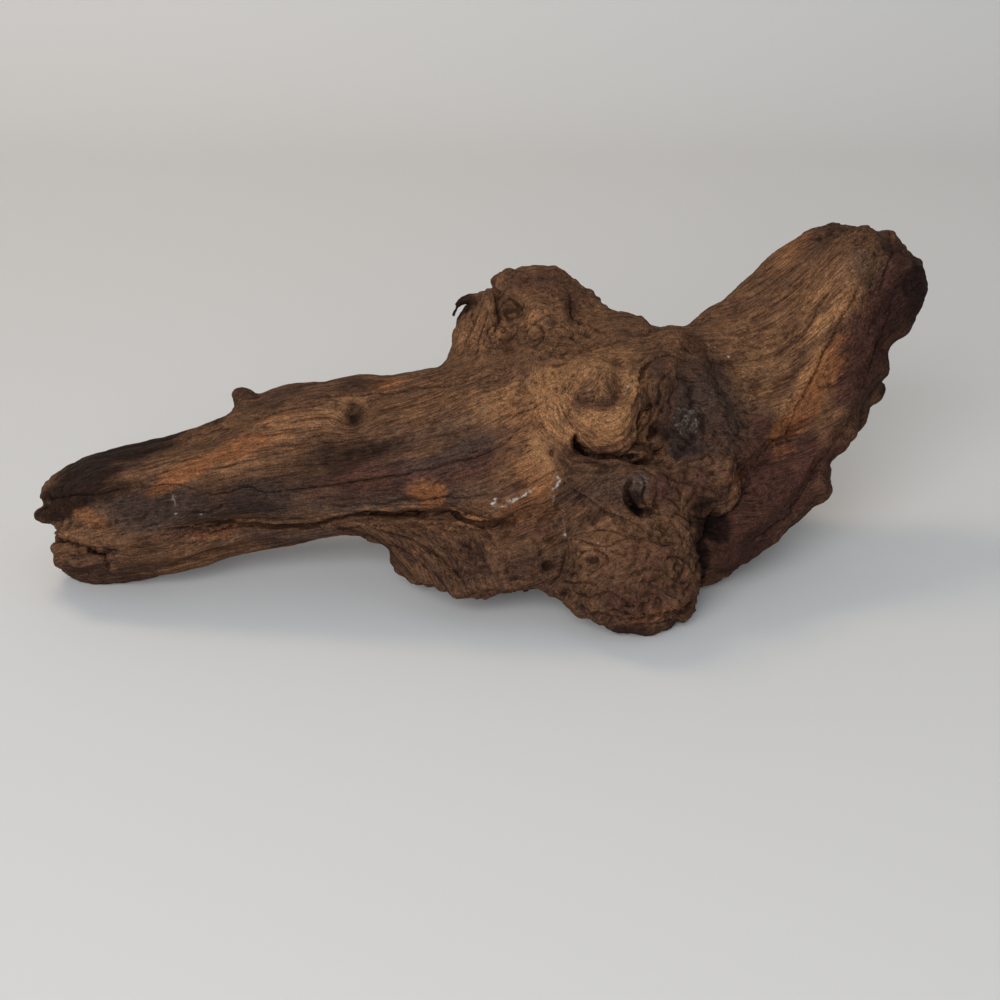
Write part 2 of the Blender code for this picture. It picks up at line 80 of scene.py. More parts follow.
SINE, COSINE = math.sin(VIEW_ELEVATION), math.cos(VIEW_ELEVATION)
SIGHT = np.array([0.0, COSINE, -SINE])
UPRIGHT = np.array([0.0, SINE, COSINE])


def to_sight(points):
    x, y, z = (points - AIM).T
    deep = y * COSINE - z * SINE
    spread = 1.0 + deep / VIEW_DISTANCE
    return np.column_stack([x / spread, (y * SINE + z * COSINE) / spread, deep])


def read_points(mesh, what="co"):
    found = np.empty(len(mesh.vertices) * 3)
    mesh.vertices.foreach_get(what, found)
    return found.reshape(-1, 3)


def write_points(mesh, points):
    mesh.vertices.foreach_set("co", (points * MM).ravel())
    mesh.update()


def apply_modifiers(thing):
    graph = bpy.context.evaluated_depsgraph_get()
    mesh = bpy.data.meshes.new_from_object(thing.evaluated_get(graph))
    thing.modifiers.clear()
    thing.data = mesh


def read_edges(mesh):
    found = np.empty(len(mesh.edges) * 2, int)
    mesh.edges.foreach_get("vertices", found)
    return found.reshape(-1, 2)


def smoothed(points, edges, rounds, firmness=0.0):
    """The points drawn to the mean of their neighbours. Firmness 1 keeps the volume."""
    one, two = edges.T
    count = np.bincount(edges.ravel(), minlength=len(points))
    moved = points.copy()
    for step in range(rounds):
        strength = SWELL_OUT * firmness if firmness and step % 2 else DRAW_IN
        for axis in range(3):
            values = moved[:, axis]
            total = np.bincount(one, values[two], len(points)) + np.bincount(two, values[one], len(points))
            moved[:, axis] += strength * (total / count - values)
    return moved


def noise_at(spots):
    """Smooth noise from about -1 to 1, one value a spot."""
    return np.array([noise.noise(spot) for spot in spots.tolist()])


def smooth_step(value, low, high):
    part = np.clip((value - low) / (high - low), 0, 1)
    return part * part * (3 - 2 * part)


def smooth_line(points, steps=6):
    """A Catmull-Rom curve through the points."""
    rows = np.asarray(points, float)
    padded = np.vstack([2 * rows[0] - rows[1], rows, 2 * rows[-1] - rows[-2]])
    found = []
    for before, start, end, after in zip(padded, padded[1:], padded[2:], padded[3:]):
        for t in np.arange(steps) / steps:
            bend = (2 * before - 5 * start + 4 * end - after) * t**2
            twist = (3 * start - before - 3 * end + after) * t**3
            found.append(0.5 * (2 * start + (end - before) * t + bend + twist))
    found.append(rows[-1])
    return np.array(found)


def beside_line(spots, line):
    """Each spot's distance to the line, side (1 above), way along, and the line's third value there."""
    far = np.full(len(spots), np.inf)
    side, along, value = (np.zeros(len(spots)) for _ in range(3))
    gone = 0.0
    for start, end in zip(line[:-1], line[1:]):
        run = (end - start)[:2]
        length = math.hypot(*run)
        part = np.clip((spots - start[:2]) @ run / length**2, 0, 1)
        gap = spots - start[:2] - np.outer(part, run)
        away = np.hypot(*gap.T)
        closer = away < far
        far = np.where(closer, away, far)
        side = np.where(closer, np.sign(run[0] * gap[:, 1] - run[1] * gap[:, 0]), side)
        along = np.where(closer, gone + part * length, along)
        value = np.where(closer, start[2] + (end[2] - start[2]) * part, value)
        gone += length
    return far, side, along, value


# The way that the fibres run, end to end, as seen from the camera
SPINE = [(-165, -9, 0), (-150, -4, 0), (-126, 1, 0), (-94, 8, 0), (-66, 13, 0), (-40, 17, 0), (-16, 23, 0),
    (2, 31, 0), (18, 41, 0), (38, 47, 0), (60, 49, 0), (78, 52, 0), (94, 60, 0), (108, 71, 0), (122, 85, 0),
    (140, 102, 0)]
# Knots that the fibres run round: centre (across, up), reach, strength
KNOTS = {
    "plank_knot": ((-49.5, 28), 5.5, 6),
    "plank_eye": ((-25, 3.5), 5, 2),
    "curl_left": ((27.3, 34), 3.6, 6),
    "curl_right": ((35, 34.3), 3.2, 5.5),
    "lobe_eye": ((30.5, -20.5), 4.5, 7),
    "lobe_round": ((59.5, -23.5), 5, 8),
    "lobe_low": ((43, -34), 4, 6),
    "brow_round": ((73, 6), 6, 8),
    "hump_ring": ((0, 56.5), 3.6, 5),
    "hump_ring_low": ((7, 58), 3, 5),
    "hump_hook": ((3, 65), 4, 2.5),
    "hump_right": ((25, 54), 4, 5),
    "limb_knot": ((104, 92), 5, 5),
    "limb_low": ((88, -2), 7, 4),
}
# Swirls of the fibres in the burl: waves a millimetre, height
SWIRLS = ((0.045, 8.0), (0.11, 3.0))
SWIRL_SEED = 11
# Slow drift of the fibres: waves a millimetre along them, across them and behind, height
DRIFT = ((0.02, 0.06, 0.03), 1.6)
# The curled lip: its middle, and where its fibres fade: away from there, above and below it
CURL_MIDDLE = (33, 38)
CURL_EDGE, CURL_TOP, CURL_BOTTOM = (21, 31), (2, 12), (-36, -26)
# How flat its U is, how its arms spread, its core's width, the length of a radian, where that starts
CURL_FLATNESS, CURL_SPREAD, CURL_CORE, CURL_RADIAN, CURL_START = 0.85, 0.25, 0.1, 16, 190
CURL_NOISE = (0.08, 1.4)
# The keel: the centre of its bends, the length of a radian, and where it fades: upwards, left and right
KEEL_MIDDLE, KEEL_RADIAN = (-60, -48), 45
KEEL_TOP, KEEL_LEFT, KEEL_RIGHT = (6, 11), (-58, -44), (-10, 10)
# The flap: its middle, how its fibres lean, and where it fades: away from the middle, and in upwards
FLAP_MIDDLE, FLAP_LEAN, FLAP_EDGE, FLAP_FOOT = -6, 0.25, (9, 13), (42, 52)
# Where the wood is burled: centre (across, up), half sizes, strength
BURLS = {
    "hump": ((16, 62), (34, 20), 0.75),
    "lobe": ((48, -24), (30, 20), 1.0),
    "brow": ((66, 14), (18, 26), 1.0),
}


def fade(away, reach):
    """1 where away is nothing, and hardly anything from twice the reach."""
    return np.exp(-((away / reach) ** 2))


def hill(spots, centre, half_sizes):
    """1 at the centre, and hardly anything from twice the half sizes."""
    return np.exp(-(((spots - centre) / half_sizes) ** 2).sum(1))


def keel_share(spots):
    across, up = spots.T
    sides = smooth_step(across, *KEEL_LEFT) * (1 - smooth_step(across, *KEEL_RIGHT))
    return smooth_step(-up, *KEEL_TOP) * sides


def burl_share(spots):
    share = sum(strength * hill(spots, centre, sizes) for centre, sizes, strength in BURLS.values())
    return np.clip(share, 0, 1)


def pushed_aside(spots, names):
    """How far the knots push the fibres aside."""
    found = np.zeros(len(spots))
    for name in names:
        centre, reach, strength = KNOTS[name]
        found += strength * fade(np.hypot(*(spots - centre).T), reach)
    return found


def curl_course(sight):
    """The fibres of the curled lip, in a U round its middle: across them, along them, their share."""
    u, v = (sight[:, :2] - CURL_MIDDLE).T
    low, arm = np.minimum(v, 0), np.maximum(v, 0)
    waves, height = CURL_NOISE
    away = np.hypot(u, low * CURL_FLATNESS) + height * noise_at(sight * waves)
    away = away + CURL_SPREAD * arm * np.sign(-u)
    along = CURL_START + np.arctan2(u, CURL_CORE - low) * CURL_RADIAN + np.sign(u) * arm
    level = (1 - smooth_step(v, *CURL_TOP)) * smooth_step(v, *CURL_BOTTOM)
    share = (1 - smooth_step(away, *CURL_EDGE)) * level
    return pushed_aside(sight[:, :2], ("curl_left", "curl_right")) - away, along, share


def keel_course(sight):
    """The fibres of the keel, which sweep down from the limb in wide bends, in the same three values."""
    u, v = (sight[:, :2] - KEEL_MIDDLE).T
    return np.hypot(u, v), np.arctan2(v, u) * KEEL_RADIAN, keel_share(sight[:, :2])


def flap_course(sight):
    """The upright fibres of the flap, in the same three values."""
    across, up, _ = sight.T
    share = (1 - smooth_step(np.abs(across - FLAP_MIDDLE), *FLAP_EDGE)) * smooth_step(up, *FLAP_FOOT)
    return across - up * FLAP_LEAN, up, share


def grain_fields(sight):
    """Two courses of the fibres at each place, each as (across the fibres, behind, along them), and the
    share of the second course, which is that of the curled lip, of the keel or of the flap."""
    spots, deep = sight[:, :2], sight[:, 2]
    far, side, along, _ = beside_line(spots, smooth_line(SPINE))
    beside = far * side + pushed_aside(spots, KNOTS)
    burl = burl_share(spots)
    for layer, (waves, height) in enumerate(SWIRLS):
        beside = beside + burl * height * noise_at(sight * waves + SWIRL_SEED * layer)
    waves, height = DRIFT
    beside = beside + height * noise_at(np.column_stack([along, beside, deep]) * waves)
    first = np.column_stack([beside, deep, along])
    beside, along, share = curl_course(sight)
    for course in (keel_course, flap_course):
        beside_there, along_there, share_there = course(sight)
        beside = np.where(share_there > 0, beside_there, beside)
        along = np.where(share_there > 0, along_there, along)
        share = np.maximum(share, share_there)
    return first, np.column_stack([beside, deep, along]), share


def grain_noise(fields, fast, slow, seed=0.0):
    """Noise drawn out along the fibres, from about -1 to 1."""
    first, second, share = fields
    wave = noise_at(first * (fast, fast, slow) + seed)
    there = share > 0
    wave[there] += share[there] * (noise_at(second[there] * (fast, fast, slow) + seed) - wave[there])
    return wave


# Darker wood: across, up, half sizes, tilt in degrees, strength
UMBER = [
    (92, 2, 26, 18, 45, 1), (132, 46, 8, 30, -30, 1), (-30, 12, 34, 8, 12, 0.35),
    (60, -24, 12, 16, 0, 0.2), (40, -38, 24, 8, 0, 0.7), (66, 26, 16, 24, 0, 0.8),
    (-20, -20, 30, 10, -20, 0.7), (10, -24, 16, 9, 0, 0.8), (-135, -24, 18, 7, 0, 1),
    (34, 0, 16, 12, 0, 0.5), (-74, 34, 10, 3, 20, 0.6), (-110, -14, 20, 5, 8, 0.6), (132, 85, 8, 12, 0, 0.5),
    (14, 71, 16, 4, 0, 0.4), (-58, -12, 30, 3, 0, 0.7), (54, 38, 5, 12, 0, 0.7), (32, -18, 14, 8, 0, 0.1),
    (-84, 37, 5, 4, 0, 1), (126, 56, 12, 28, -25, 1), (112, 88, 14, 7, 20, 0.6),
    (57, 30, 7, 14, 10, 1),
]
# Cracks: half width, then (across, up, depth). The shader paints shade into them, darker where deeper
CRACKS = {
    "long": (0.45, [(-84, 1.5, 0.3), (-64, 4.5, 1), (-38, 7.5, 1.2), (-13, 13.5, 1.3), (-4, 16.5, 1.2),
        (4, 22, 0.8), (10, 26, 0.3)]),
    "upper": (0.4, [(2, 26, 0.2), (6, 29, 1.1), (11, 31.5, 0.9), (16, 35, 0.2)]),
    "low_one": (0.4, [(-60, -2, 0.2), (-40, -1.5, 0.9), (-16, 0.5, 0.9), (2, 2, 0.2)]),
    "plank_fine": (0.3, [(-120, 6, 0.2), (-90, 12, 0.6), (-60, 19, 0.6), (-34, 23, 0.2)]),
    "plank_top": (0.3, [(-62, 34, 0.2), (-40, 35.5, 0.7), (-20, 38, 0.7), (0, 42, 0.2)]),
    "tip": (0.4, [(-150, 0, 0.8), (-138, 2, 0.9), (-120, 5, 0.2)]),
    "tip_low": (0.4, [(-148, -12, 0.8), (-132, -16, 0.9), (-112, -16, 0.2)]),
    "limb_one": (0.35, [(84, 12, 0.2), (94, 22, 0.5), (104, 40, 0.6), (110, 56, 0.5), (114, 68, 0.2)]),
    "limb_two": (0.3, [(92, 44, 0.2), (100, 54, 0.5), (106, 64, 0.5), (112, 74, 0.2)]),
    "limb_three": (0.45, [(82, -16, 0.2), (90, -10, 0.9), (97, -4, 0.9), (104, 8, 0.2)]),
    "limb_four": (0.35, [(118, 30, 0.3), (124, 46, 0.6), (130, 62, 0.5), (133, 74, 0.2)]),
    "limb_end": (0.5, [(130, 90, 0.9), (131, 84, 1.1), (129, 76, 0.6), (126, 66, 0.2)]),
    "toe": (0.5, [(36, -36.5, 0.5), (46, -39, 1.3), (58, -37.5, 1.3), (65, -32, 0.5)]),
    "toe_two": (0.4, [(42, -42, 0.5), (50, -42.5, 1.1), (60, -40.5, 0.6)]),
    "brow": (0.45, [(62, -3, 0.3), (68, -6, 1.2), (73, -4, 0.5)]),
    "lobe_arc": (0.35, [(24, -12, 0.2), (33, -9, 0.8), (44, -12, 0.8), (52, -10, 0.2)]),
    "flap_fold": (0.6, [(1, 71, 0.6), (-1, 66, 1.2), (0, 61, 1.2), (-2, 54, 0.4)]),
    "hump_hook": (0.5, [(1, 66, 0.3), (3, 67.3, 0.8), (5, 65.6, 1.4), (6.3, 63, 1.5), (5.6, 61, 0.5)]),
    "hump_curl": (0.5, [(8, 53, 0.3), (12, 52, 1.1), (15, 55, 1.3), (13, 59, 1.2), (9, 59, 0.6),
        (7, 56.5, 0.4)]),
    "hump_curl_two": (0.5, [(-2, 52, 0.3), (-4, 56, 1.2), (-1, 59, 1.2), (2, 57, 0.5), (1, 54, 0.3)]),
    "hump_crease": (0.45, [(22, 71, 0.2), (23.4, 67, 0.6), (24.6, 62.6, 1.2), (27, 60, 0.8), (32, 57, 0.2)]),
    "flap_grain": (0.35, [(-6, 66, 0.5), (-9, 58, 0.8), (-13, 48, 0.2)]),
    "flap_grain_two": (0.35, [(-3, 66, 0.5), (-6, 56, 0.8), (-8, 47, 0.2)]),
    "slit": (0.7, [(25.2, 21.8, 1), (24.6, 19.5, 3), (26, 17.4, 3.5), (28.2, 15.9, 3), (31.6, 14.7, 2)]),
    "slit_end": (0.5, [(29, 15.6, 2.5), (32, 14.7, 2.6), (37, 14.4, 2.4), (44, 14.5, 2.2),
        (49.4, 14.6, 1.2)]),
    "rim_folds": (0.5, [(52, 31, 0.3), (54, 34, 1), (53, 38, 0.9), (55, 42, 0.8), (58, 44, 0.2)]),
    "rim_folds_two": (0.4, [(55, 27, 0.3), (57, 30, 0.9), (57, 34, 0.8), (60, 38, 0.2)]),
    "socket": (0.9, [(43.6, 7, 0.5), (43.1, 3.2, 2), (43.9, -1.6, 2.8), (46.7, -4, 2.8), (49.8, -4, 1.2)]),
    "socket_split": (0.4, [(46.5, 9.5, 0.3), (48.6, 6, 1.6), (47.8, 1.5, 1.5), (50, -3.5, 1.4),
        (54.5, -4.8, 0.4)]),
    "socket_tail": (0.4, [(53, 2, 0.3), (57, 0, 1), (59.4, -3.2, 1.2)]),
    "charcoal_one": (0.35, [(-124, 4.5, 0.2), (-110, 5.5, 0.8), (-100, 3.5, 0.3), (-94, 2, 1), (-84, 5, 1),
        (-77, 3, 0.8), (-68, 6, 0.2)]),
    "charcoal_two": (0.35, [(-114, -6, 0.2), (-104, -4.5, 0.8), (-96, -4, 0.8), (-88, 1.5, 0.2)]),
    "charcoal_three": (0.4, [(-108, -8, 0.2), (-98, -8.5, 0.8), (-88, -7, 1), (-80, -6.3, 0.4)]),
    # Carved below the plank's ledge; its painted shade makes the ledge's shadow line
    "under_plank": (0.7, [(-84, -8, 0.2), (-67, -8.9, 0.9), (-58, -7.3, 1.1), (-48.5, -4.8, 1.3),
        (-35, -4.4, 1.4), (-17, -3.8, 1.2), (-13.3, -6.1, 0.9), (-9.3, -7.5, 0.8), (-3.3, -7.8, 0.7),
        (2, -6.5, 0.6), (5.3, -5, 0.2)]),
    "keel_crease": (0.6, [(21, -17, 0.3), (20, -22, 1.2), (18, -27, 1), (15, -31, 0.3)]),
    "keel_arc": (0.5, [(-54, -13.5, 0.3), (-43, -13, 0.8), (-34, -16, 0.9), (-25, -22, 0.8),
        (-18, -30, 0.4)]),
    "keel_arc_two": (0.5, [(-54, -10, 0.2), (-40, -10, 0.7), (-28, -14, 0.8), (-19, -20, 0.8),
        (-10, -30, 0.5)]),
    "lobe_top": (0.4, [(20, -14, 0.2), (26, -13, 0.7), (33, -15, 0.8), (40, -13, 0.6), (46, -9, 0.2)]),
    "lobe_brow": (0.5, [(25.5, -19.5, 0.3), (28, -17.6, 1), (32, -17.4, 1.1), (35, -19.5, 0.8),
        (36, -22, 0.3)]),
    "lobe_ring": (0.4, [(55.4, -21, 0.3), (57, -19.2, 0.9), (60.5, -19.4, 0.9), (62.4, -22.5, 0.9),
        (61, -26, 0.9), (57.6, -26.6, 0.6)]),
    "lobe_cleft": (0.5, [(20, -26, 0.3), (24, -28, 0.9), (29, -27.5, 0.9), (33, -29, 0.4)]),
    "lobe_side": (0.5, [(63, -13, 0.3), (66, -20, 1.2), (64, -28, 1), (60, -34, 0.4)]),
    "lobe_split": (0.4, [(22, -30, 0.2), (28, -32, 0.7), (36, -31, 0.8), (42, -34, 0.7)]),
    # Carved below the tip's overhang; its painted shade makes the overhang's shadow line
    "under_tip": (0.6, [(-149.7, -10.8, 0.8), (-145, -13.8, 1.6), (-139, -15.4, 1.6), (-134.9, -17.3, 1.8),
        (-132, -19, 1.4), (-131.2, -22, 1)]),
}
# Steps where the wood above stands out over the wood below: reach, then (across, up, height)
LEDGES = {
    "band": (1.6, [(-60, -10, 0.2), (-46, -8.5, 0.6), (-30, -7.5, 0.6), (-14, -8, 0.5), (-2, -11, 0.2)]),
    "tip": (2.2, [(-149.7, -10, 1.2), (-145, -13, 1.6), (-139, -14.5, 1.6), (-134.9, -16.3, 1.6),
        (-131.7, -18, 1.5), (-130.6, -21.5, 1.2), (-126, -25.3, 0.8), (-119, -27, 0.2)]),
    "tip_low": (1.4, [(-118, -10, 0.2), (-108, -9, 0.5), (-96, -9.5, 0.6), (-86, -8.5, 0.3)]),
    "apron": (1.4, [(22, 6, 0.2), (29, 0.8, 0.5), (36, -3.5, 0.7), (41, -6, 0.7), (46, -8, 0.3)]),
    "toe_back": (1.5, [(24, -33, 0.2), (32, -36, 0.6), (42, -36, 0.7), (52, -33, 0.3)]),
    "toe": (1.5, [(36, -38.5, 0.3), (43, -39.8, 1), (49, -39.3, 1.1), (57.8, -36.5, 1.1),
        (65, -33.3, 0.4)]),
    "lip": (1.6, [(52, 33, 0.2), (47, 24.3, 0.8), (42, 18.8, 0.9), (36.5, 16.4, 0.9), (30, 17.6, 0.9),
        (25, 22.6, 0.6)]),
    "rim": (1.4, [(44, 30, 0.2), (45.5, 36, 0.7), (46.5, 42, 0.8), (50, 47, 0.8), (55, 48.6, 0.8),
        (61, 46.8, 0.2)]),
    "limb_crest": (2.5, [(72, 24, 0.2), (92, 20, 0.6), (98, 30, 1), (106, 46, 1.1), (112, 58, 1.1),
        (119, 70, 0.3)]),
}
# Bowls: centre (across, up), half sizes, depth. The shader paints shade into them too
BOWLS = {
    "pocket": ((51.6, 23), (1.2, 1.5), 3),
    "pocket_low": ((50.2, 21.2), (1.2, 0.8), 1.2),
    "slit_mouth": ((26, 17.8), (1.5, 1.8), 2),
    "pocket_top": ((53, 32), (1.2, 2), 1),
    "socket": ((45, -1.6), (1.1, 1.8), 1.2),
    "hook_pit": ((5.6, 62.8), (0.8, 1), 0.8),
    "hump_hole": ((24.4, 65), (1.6, 2.6), 0.4),
    "hump_hole_two": ((24.4, 54.8), (1, 0.9), 1.4),
    "hump_hole_three": ((27.2, 59.6), (0.9, 0.9), 1.3),
    "plank_pit": ((-49.2, 27.2), (1.4, 1.8), 1.2),
    "lobe_pit": ((43, -34.5), (2.2, 1.5), 1.5),
    "lobe_eye": ((30.5, -20.8), (2, 1.2), 1.5),
    "lobe_gap": ((24, -25), (1.6, 1), 1.2),
    "lobe_gap_two": ((52, -29), (1.8, 0.9), 1.2),
    "lobe_gap_three": ((38, -26), (1.2, 1), 0.9),
    "keel_pit": ((16, -21.7), (1.2, 1.8), 1.1),
    "keel_pit_two": ((4.5, -26.5), (1.5, 0.8), 1),
    "brow_gap": ((71, -10), (3, 3.5), 1.2),
    "curl_pit": ((17.7, 15.9), (1, 1.3), 0.9),
    "lobe_pits": ((21.3, -31.7), (1.2, 1), 1.2),
    "lobe_pits_two": ((27.6, -31.3), (1, 0.8), 1),
    "lobe_pits_three": ((34, -31.7), (1.4, 0.7), 1),
    "tip_holes": ((-130.5, -8), (1.2, 1.6), 1),
    "tip_holes_two": ((-128, -7), (0.8, 1.2), 0.8),
    "tip_hole": ((-130.5, -17.6), (3, 1), 1.6),
}
# Shifts of what is drawn on the wood: waves a millimetre, height, where in the noise each is read
GROWN = ((0.12, 0.8, (0, 31)), (0.5, 0.3, (7, 43)))
FILLED_SHIFT = ((0.3, 0.9, (0, 60)),)
STEP_SHIFT = ((0.35, 0.35, (0, 60)),)
STAIN_SHIFT = ((0.06, 2.5, (5, 50)),)


def shifted(sight, shifts=GROWN):
    """The spots of the sight places, shifted a little by noise, so that what is drawn on them looks grown."""
    spots = sight[:, :2]
    for waves, height, seeds in shifts:
        spots = spots + height * np.column_stack([noise_at(sight * waves + seed) for seed in seeds])
    return spots


def near_line(spots, line, reach):
    """Which spots are close to the line, and what beside_line finds for them."""
    low, high = line[:, :2].min(0) - reach, line[:, :2].max(0) + reach
    near = np.flatnonzero(((spots > low) & (spots < high)).all(1))
    return near, beside_line(spots[near], line)


def carved_depth(drawn, front):
    """How deep the cracks and bowls are cut at each point, in millimetres."""
    cut = np.zeros(len(drawn))
    for half_width, line in CRACKS.values():
        near, (far, _, _, depth) = near_line(drawn, smooth_line(line, 4), 3 * half_width)
        cut[near] = np.maximum(cut[near], depth * fade(far, half_width))
    for centre, half_sizes, depth in BOWLS.values():
        cut = cut + depth * hill(drawn, centre, half_sizes)
    return front * cut


def fill_depth(sight):
    """How far each point is moved along the line of sight to fill the hollows, in millimetres."""
    across, up = shifted(sight, FILLED_SHIFT).T
    deep = sight[:, 2]
    moved = deep.copy()
    for (x, y), (wide, high), target, slope, share in FILLED:
        level = target + slope * (across - x)
        inside = 1 - smooth_step(np.hypot((across - x) / wide, (up - y) / high), *FILLED_EDGE)
        inside *= share * (1 - smooth_step(deep, *FILLED_BACK))
        moved -= inside * np.maximum(moved - level, 0)
    return moved - deep


def step_depth(sight, normals):
    """How far each point is moved along the line of sight by the edges, in millimetres."""
    spots = shifted(sight, STEP_SHIFT)
    moved = np.zeros(len(sight))
    for reach, line in STEPS.values():
        near, (far, side, _, depth) = near_line(spots, smooth_line(line, 4), 4 * reach)
        fall = smooth_step(-far * side, *STEP_FALL) * np.exp(-far / reach)
        moved[near] = np.maximum(moved[near], depth * fall)
    return moved * smooth_step(-(normals @ SIGHT), *STEP_TURN)


def fullness(sight):
    """How far each point is moved along its normal to fill out the outline, in millimetres."""
    moved = np.zeros(len(sight))
    for reach, line in FULLER.values():
        near, (far, _, _, amount) = near_line(sight[:, :2], smooth_line(line, 3), 2.5 * reach)
        moved[near] += amount * fade(far, reach)
    return moved


def nub_lean(sight):
    """How far each point of the nub is moved to the left, in millimetres."""
    centre, half_sizes, lean = NUB_LEAN
    low, high = (centre[1] + height for height in NUB_FOOT)
    return lean * hill(sight[:, :2], centre, half_sizes) * smooth_step(sight[:, 1], low, high)


def notch_lift(sight):
    """How far each point in the notch is lifted, in millimetres."""
    (x, y), (wide, high), lift = NOTCH_LIFT
    across, up, _ = sight.T
    share = smooth_step(up, y - 1.5 * high, y) * (1 - smooth_step(up, y, y + high))
    return lift * fade(across - x, wide) * share


def on_splinter(sight):
    across, up, _ = sight.T
    x, y, slope = SPLINTER_LINE
    return (across < SPLINTER_END) & (up > SPLINTER_FOOT) & (up > y + slope * (across - x))


def facing(normals):
    return np.clip(-FRONT_STEEPNESS * (normals @ SIGHT), 0, 1)


def folded(wave, level, power=1.0):
    """Round ridges with sharp grooves between them, which lie that level below nothing."""
    return FOLD_HEIGHT * np.abs(wave) ** power - level


def fine_relief(sight, normals, fields):
    """How far each point is raised along its normal, in millimetres."""
    spots = sight[:, :2]
    burl = burl_share(spots)
    front = facing(normals)
    raised = SWELLING + BURL_SWELLING * burl
    for centre, half_sizes, height in SWOLLEN:
        raised += height * hill(spots, centre, half_sizes)
    ragged = folded(noise_at(sight * RAGGED_WAVES + RAGGED_SEED), RAGGED_LEVEL)
    for centre, half_sizes, height in RAGGED:
        raised += hill(spots, centre, half_sizes) * height * ragged
    for fast, slow, height in FIBRES:
        wave = grain_noise(fields, fast, slow, FIBRE_SEED * fast)
        raised += (1 - BURL_FIBRES * burl) * height * folded(wave, 1.0, FIBRE_POWER)
    lumpy = PLAIN_LUMPS + (1 - PLAIN_LUMPS) * burl
    for waves, height in LUMPS:
        raised += lumpy * height * folded(noise_at(sight * waves + LUMP_SEED), LUMP_LEVEL)
    waves, seed, height = KEEL_RIDGES
    raised += keel_share(spots) * height * folded(noise_at(fields[1] * waves + seed), LUMP_LEVEL)
    drawn = shifted(sight)
    for reach, line in LEDGES.values():
        near, (far, side, _, height) = near_line(drawn, smooth_line(line, 4), 6 * reach)
        raised[near] += front[near] * height * side * np.exp(-far / reach)
    waves, height = RING_NOISE
    uneven = height * noise_at(sight * waves)
    for centre, reach, strength in KNOTS.values():
        away = np.hypot(*(drawn - centre).T) + uneven
        rings = np.cos(away * RING_TURN) * fade(away, reach)
        raised += strength / RING_STRENGTH * front * (RING_HEIGHT + BURL_RING_HEIGHT * burl) * rings
    return raised - carved_depth(drawn, front)


# Lines near the outline where the wood is fuller or thinner than in the solid: reach, then (across, up,
# how much)
FULLER = {
    "tip_top": (6, [(-152, 3, 0.5), (-149, 6, 1.6), (-141, 13, 1.8), (-132, 16, 1.5), (-122, 18.5, 0.8),
        (-112, 21, 0)]),
    "plank_top": (4, [(-82, 36, 0), (-79, 37, 1.6), (-70, 38, 1.7), (-64, 38.5, 1), (-58, 39.5, 0)]),
    "flap": (4, [(-16, 44, 0.8), (-14.5, 50, 1.4), (-12.5, 57, 1.4), (-10, 63, 0.6)]),
    "hump": (6, [(-4, 70, 1.4), (0, 73, 4.2), (4, 76, 1.6), (8, 77.5, 0.4), (14, 78, 1.4), (19, 77.5, 1.8),
        (23, 75, 1.5), (27, 72, 3), (31, 69, 4), (35, 65, 2.6), (39, 62.5, 1.6), (45, 59.5, 0.8)]),
    "saddle": (8, [(50, 58, 1), (56, 56, 3.6), (63, 56, 3.6), (70, 61.5, 3.8), (76, 67, 4), (82, 74, 4.8),
        (88, 80, 5.2), (95, 85, 4.4), (103, 89.5, 3.4), (109, 91, 1), (114, 92, 0)]),
    "shoulder": (4, [(135, 87, 0), (140, 86, 1.2), (144, 83, 1.6), (147, 78, 1), (148, 66, 1),
        (146, 58, 0)]),
    "limb_right": (4, [(137, 50, 0), (134, 46, 2.2), (131, 41, 4.5), (129, 36, 2), (127, 31, -3),
        (123.5, 27, -2.5), (119, 22, 2.5), (115.5, 18, 1.5), (113.5, 12, -3), (111.5, 7, -1.5),
        (108, 2, 0)]),
    "tooth": (2.2, [(109, 7, 0.5), (108.5, 4, 3), (107, 0.5, 1.5)]),
    "foot": (4, [(-151, -9, 0), (-149, -12, 1.6), (-148, -17, 1.8), (-145, -23, 1.4), (-139, -28, 0)]),
    "keel": (5, [(-54, -13, -0.6), (-44, -15, -2), (-38, -18, -2.2), (-34, -23, 0), (-20, -30, 1),
        (-12, -32, 0.5), (-6, -33.5, -1.8), (0, -34, -3.2), (8, -34.5, -4), (14, -34, -3.6), (19, -34, 0),
        (24, -38, 2.2), (32, -42, 1), (40, -43, 1.6), (50, -43, 2.4), (57, -41, 1.4), (64, -37, 0)]),
}
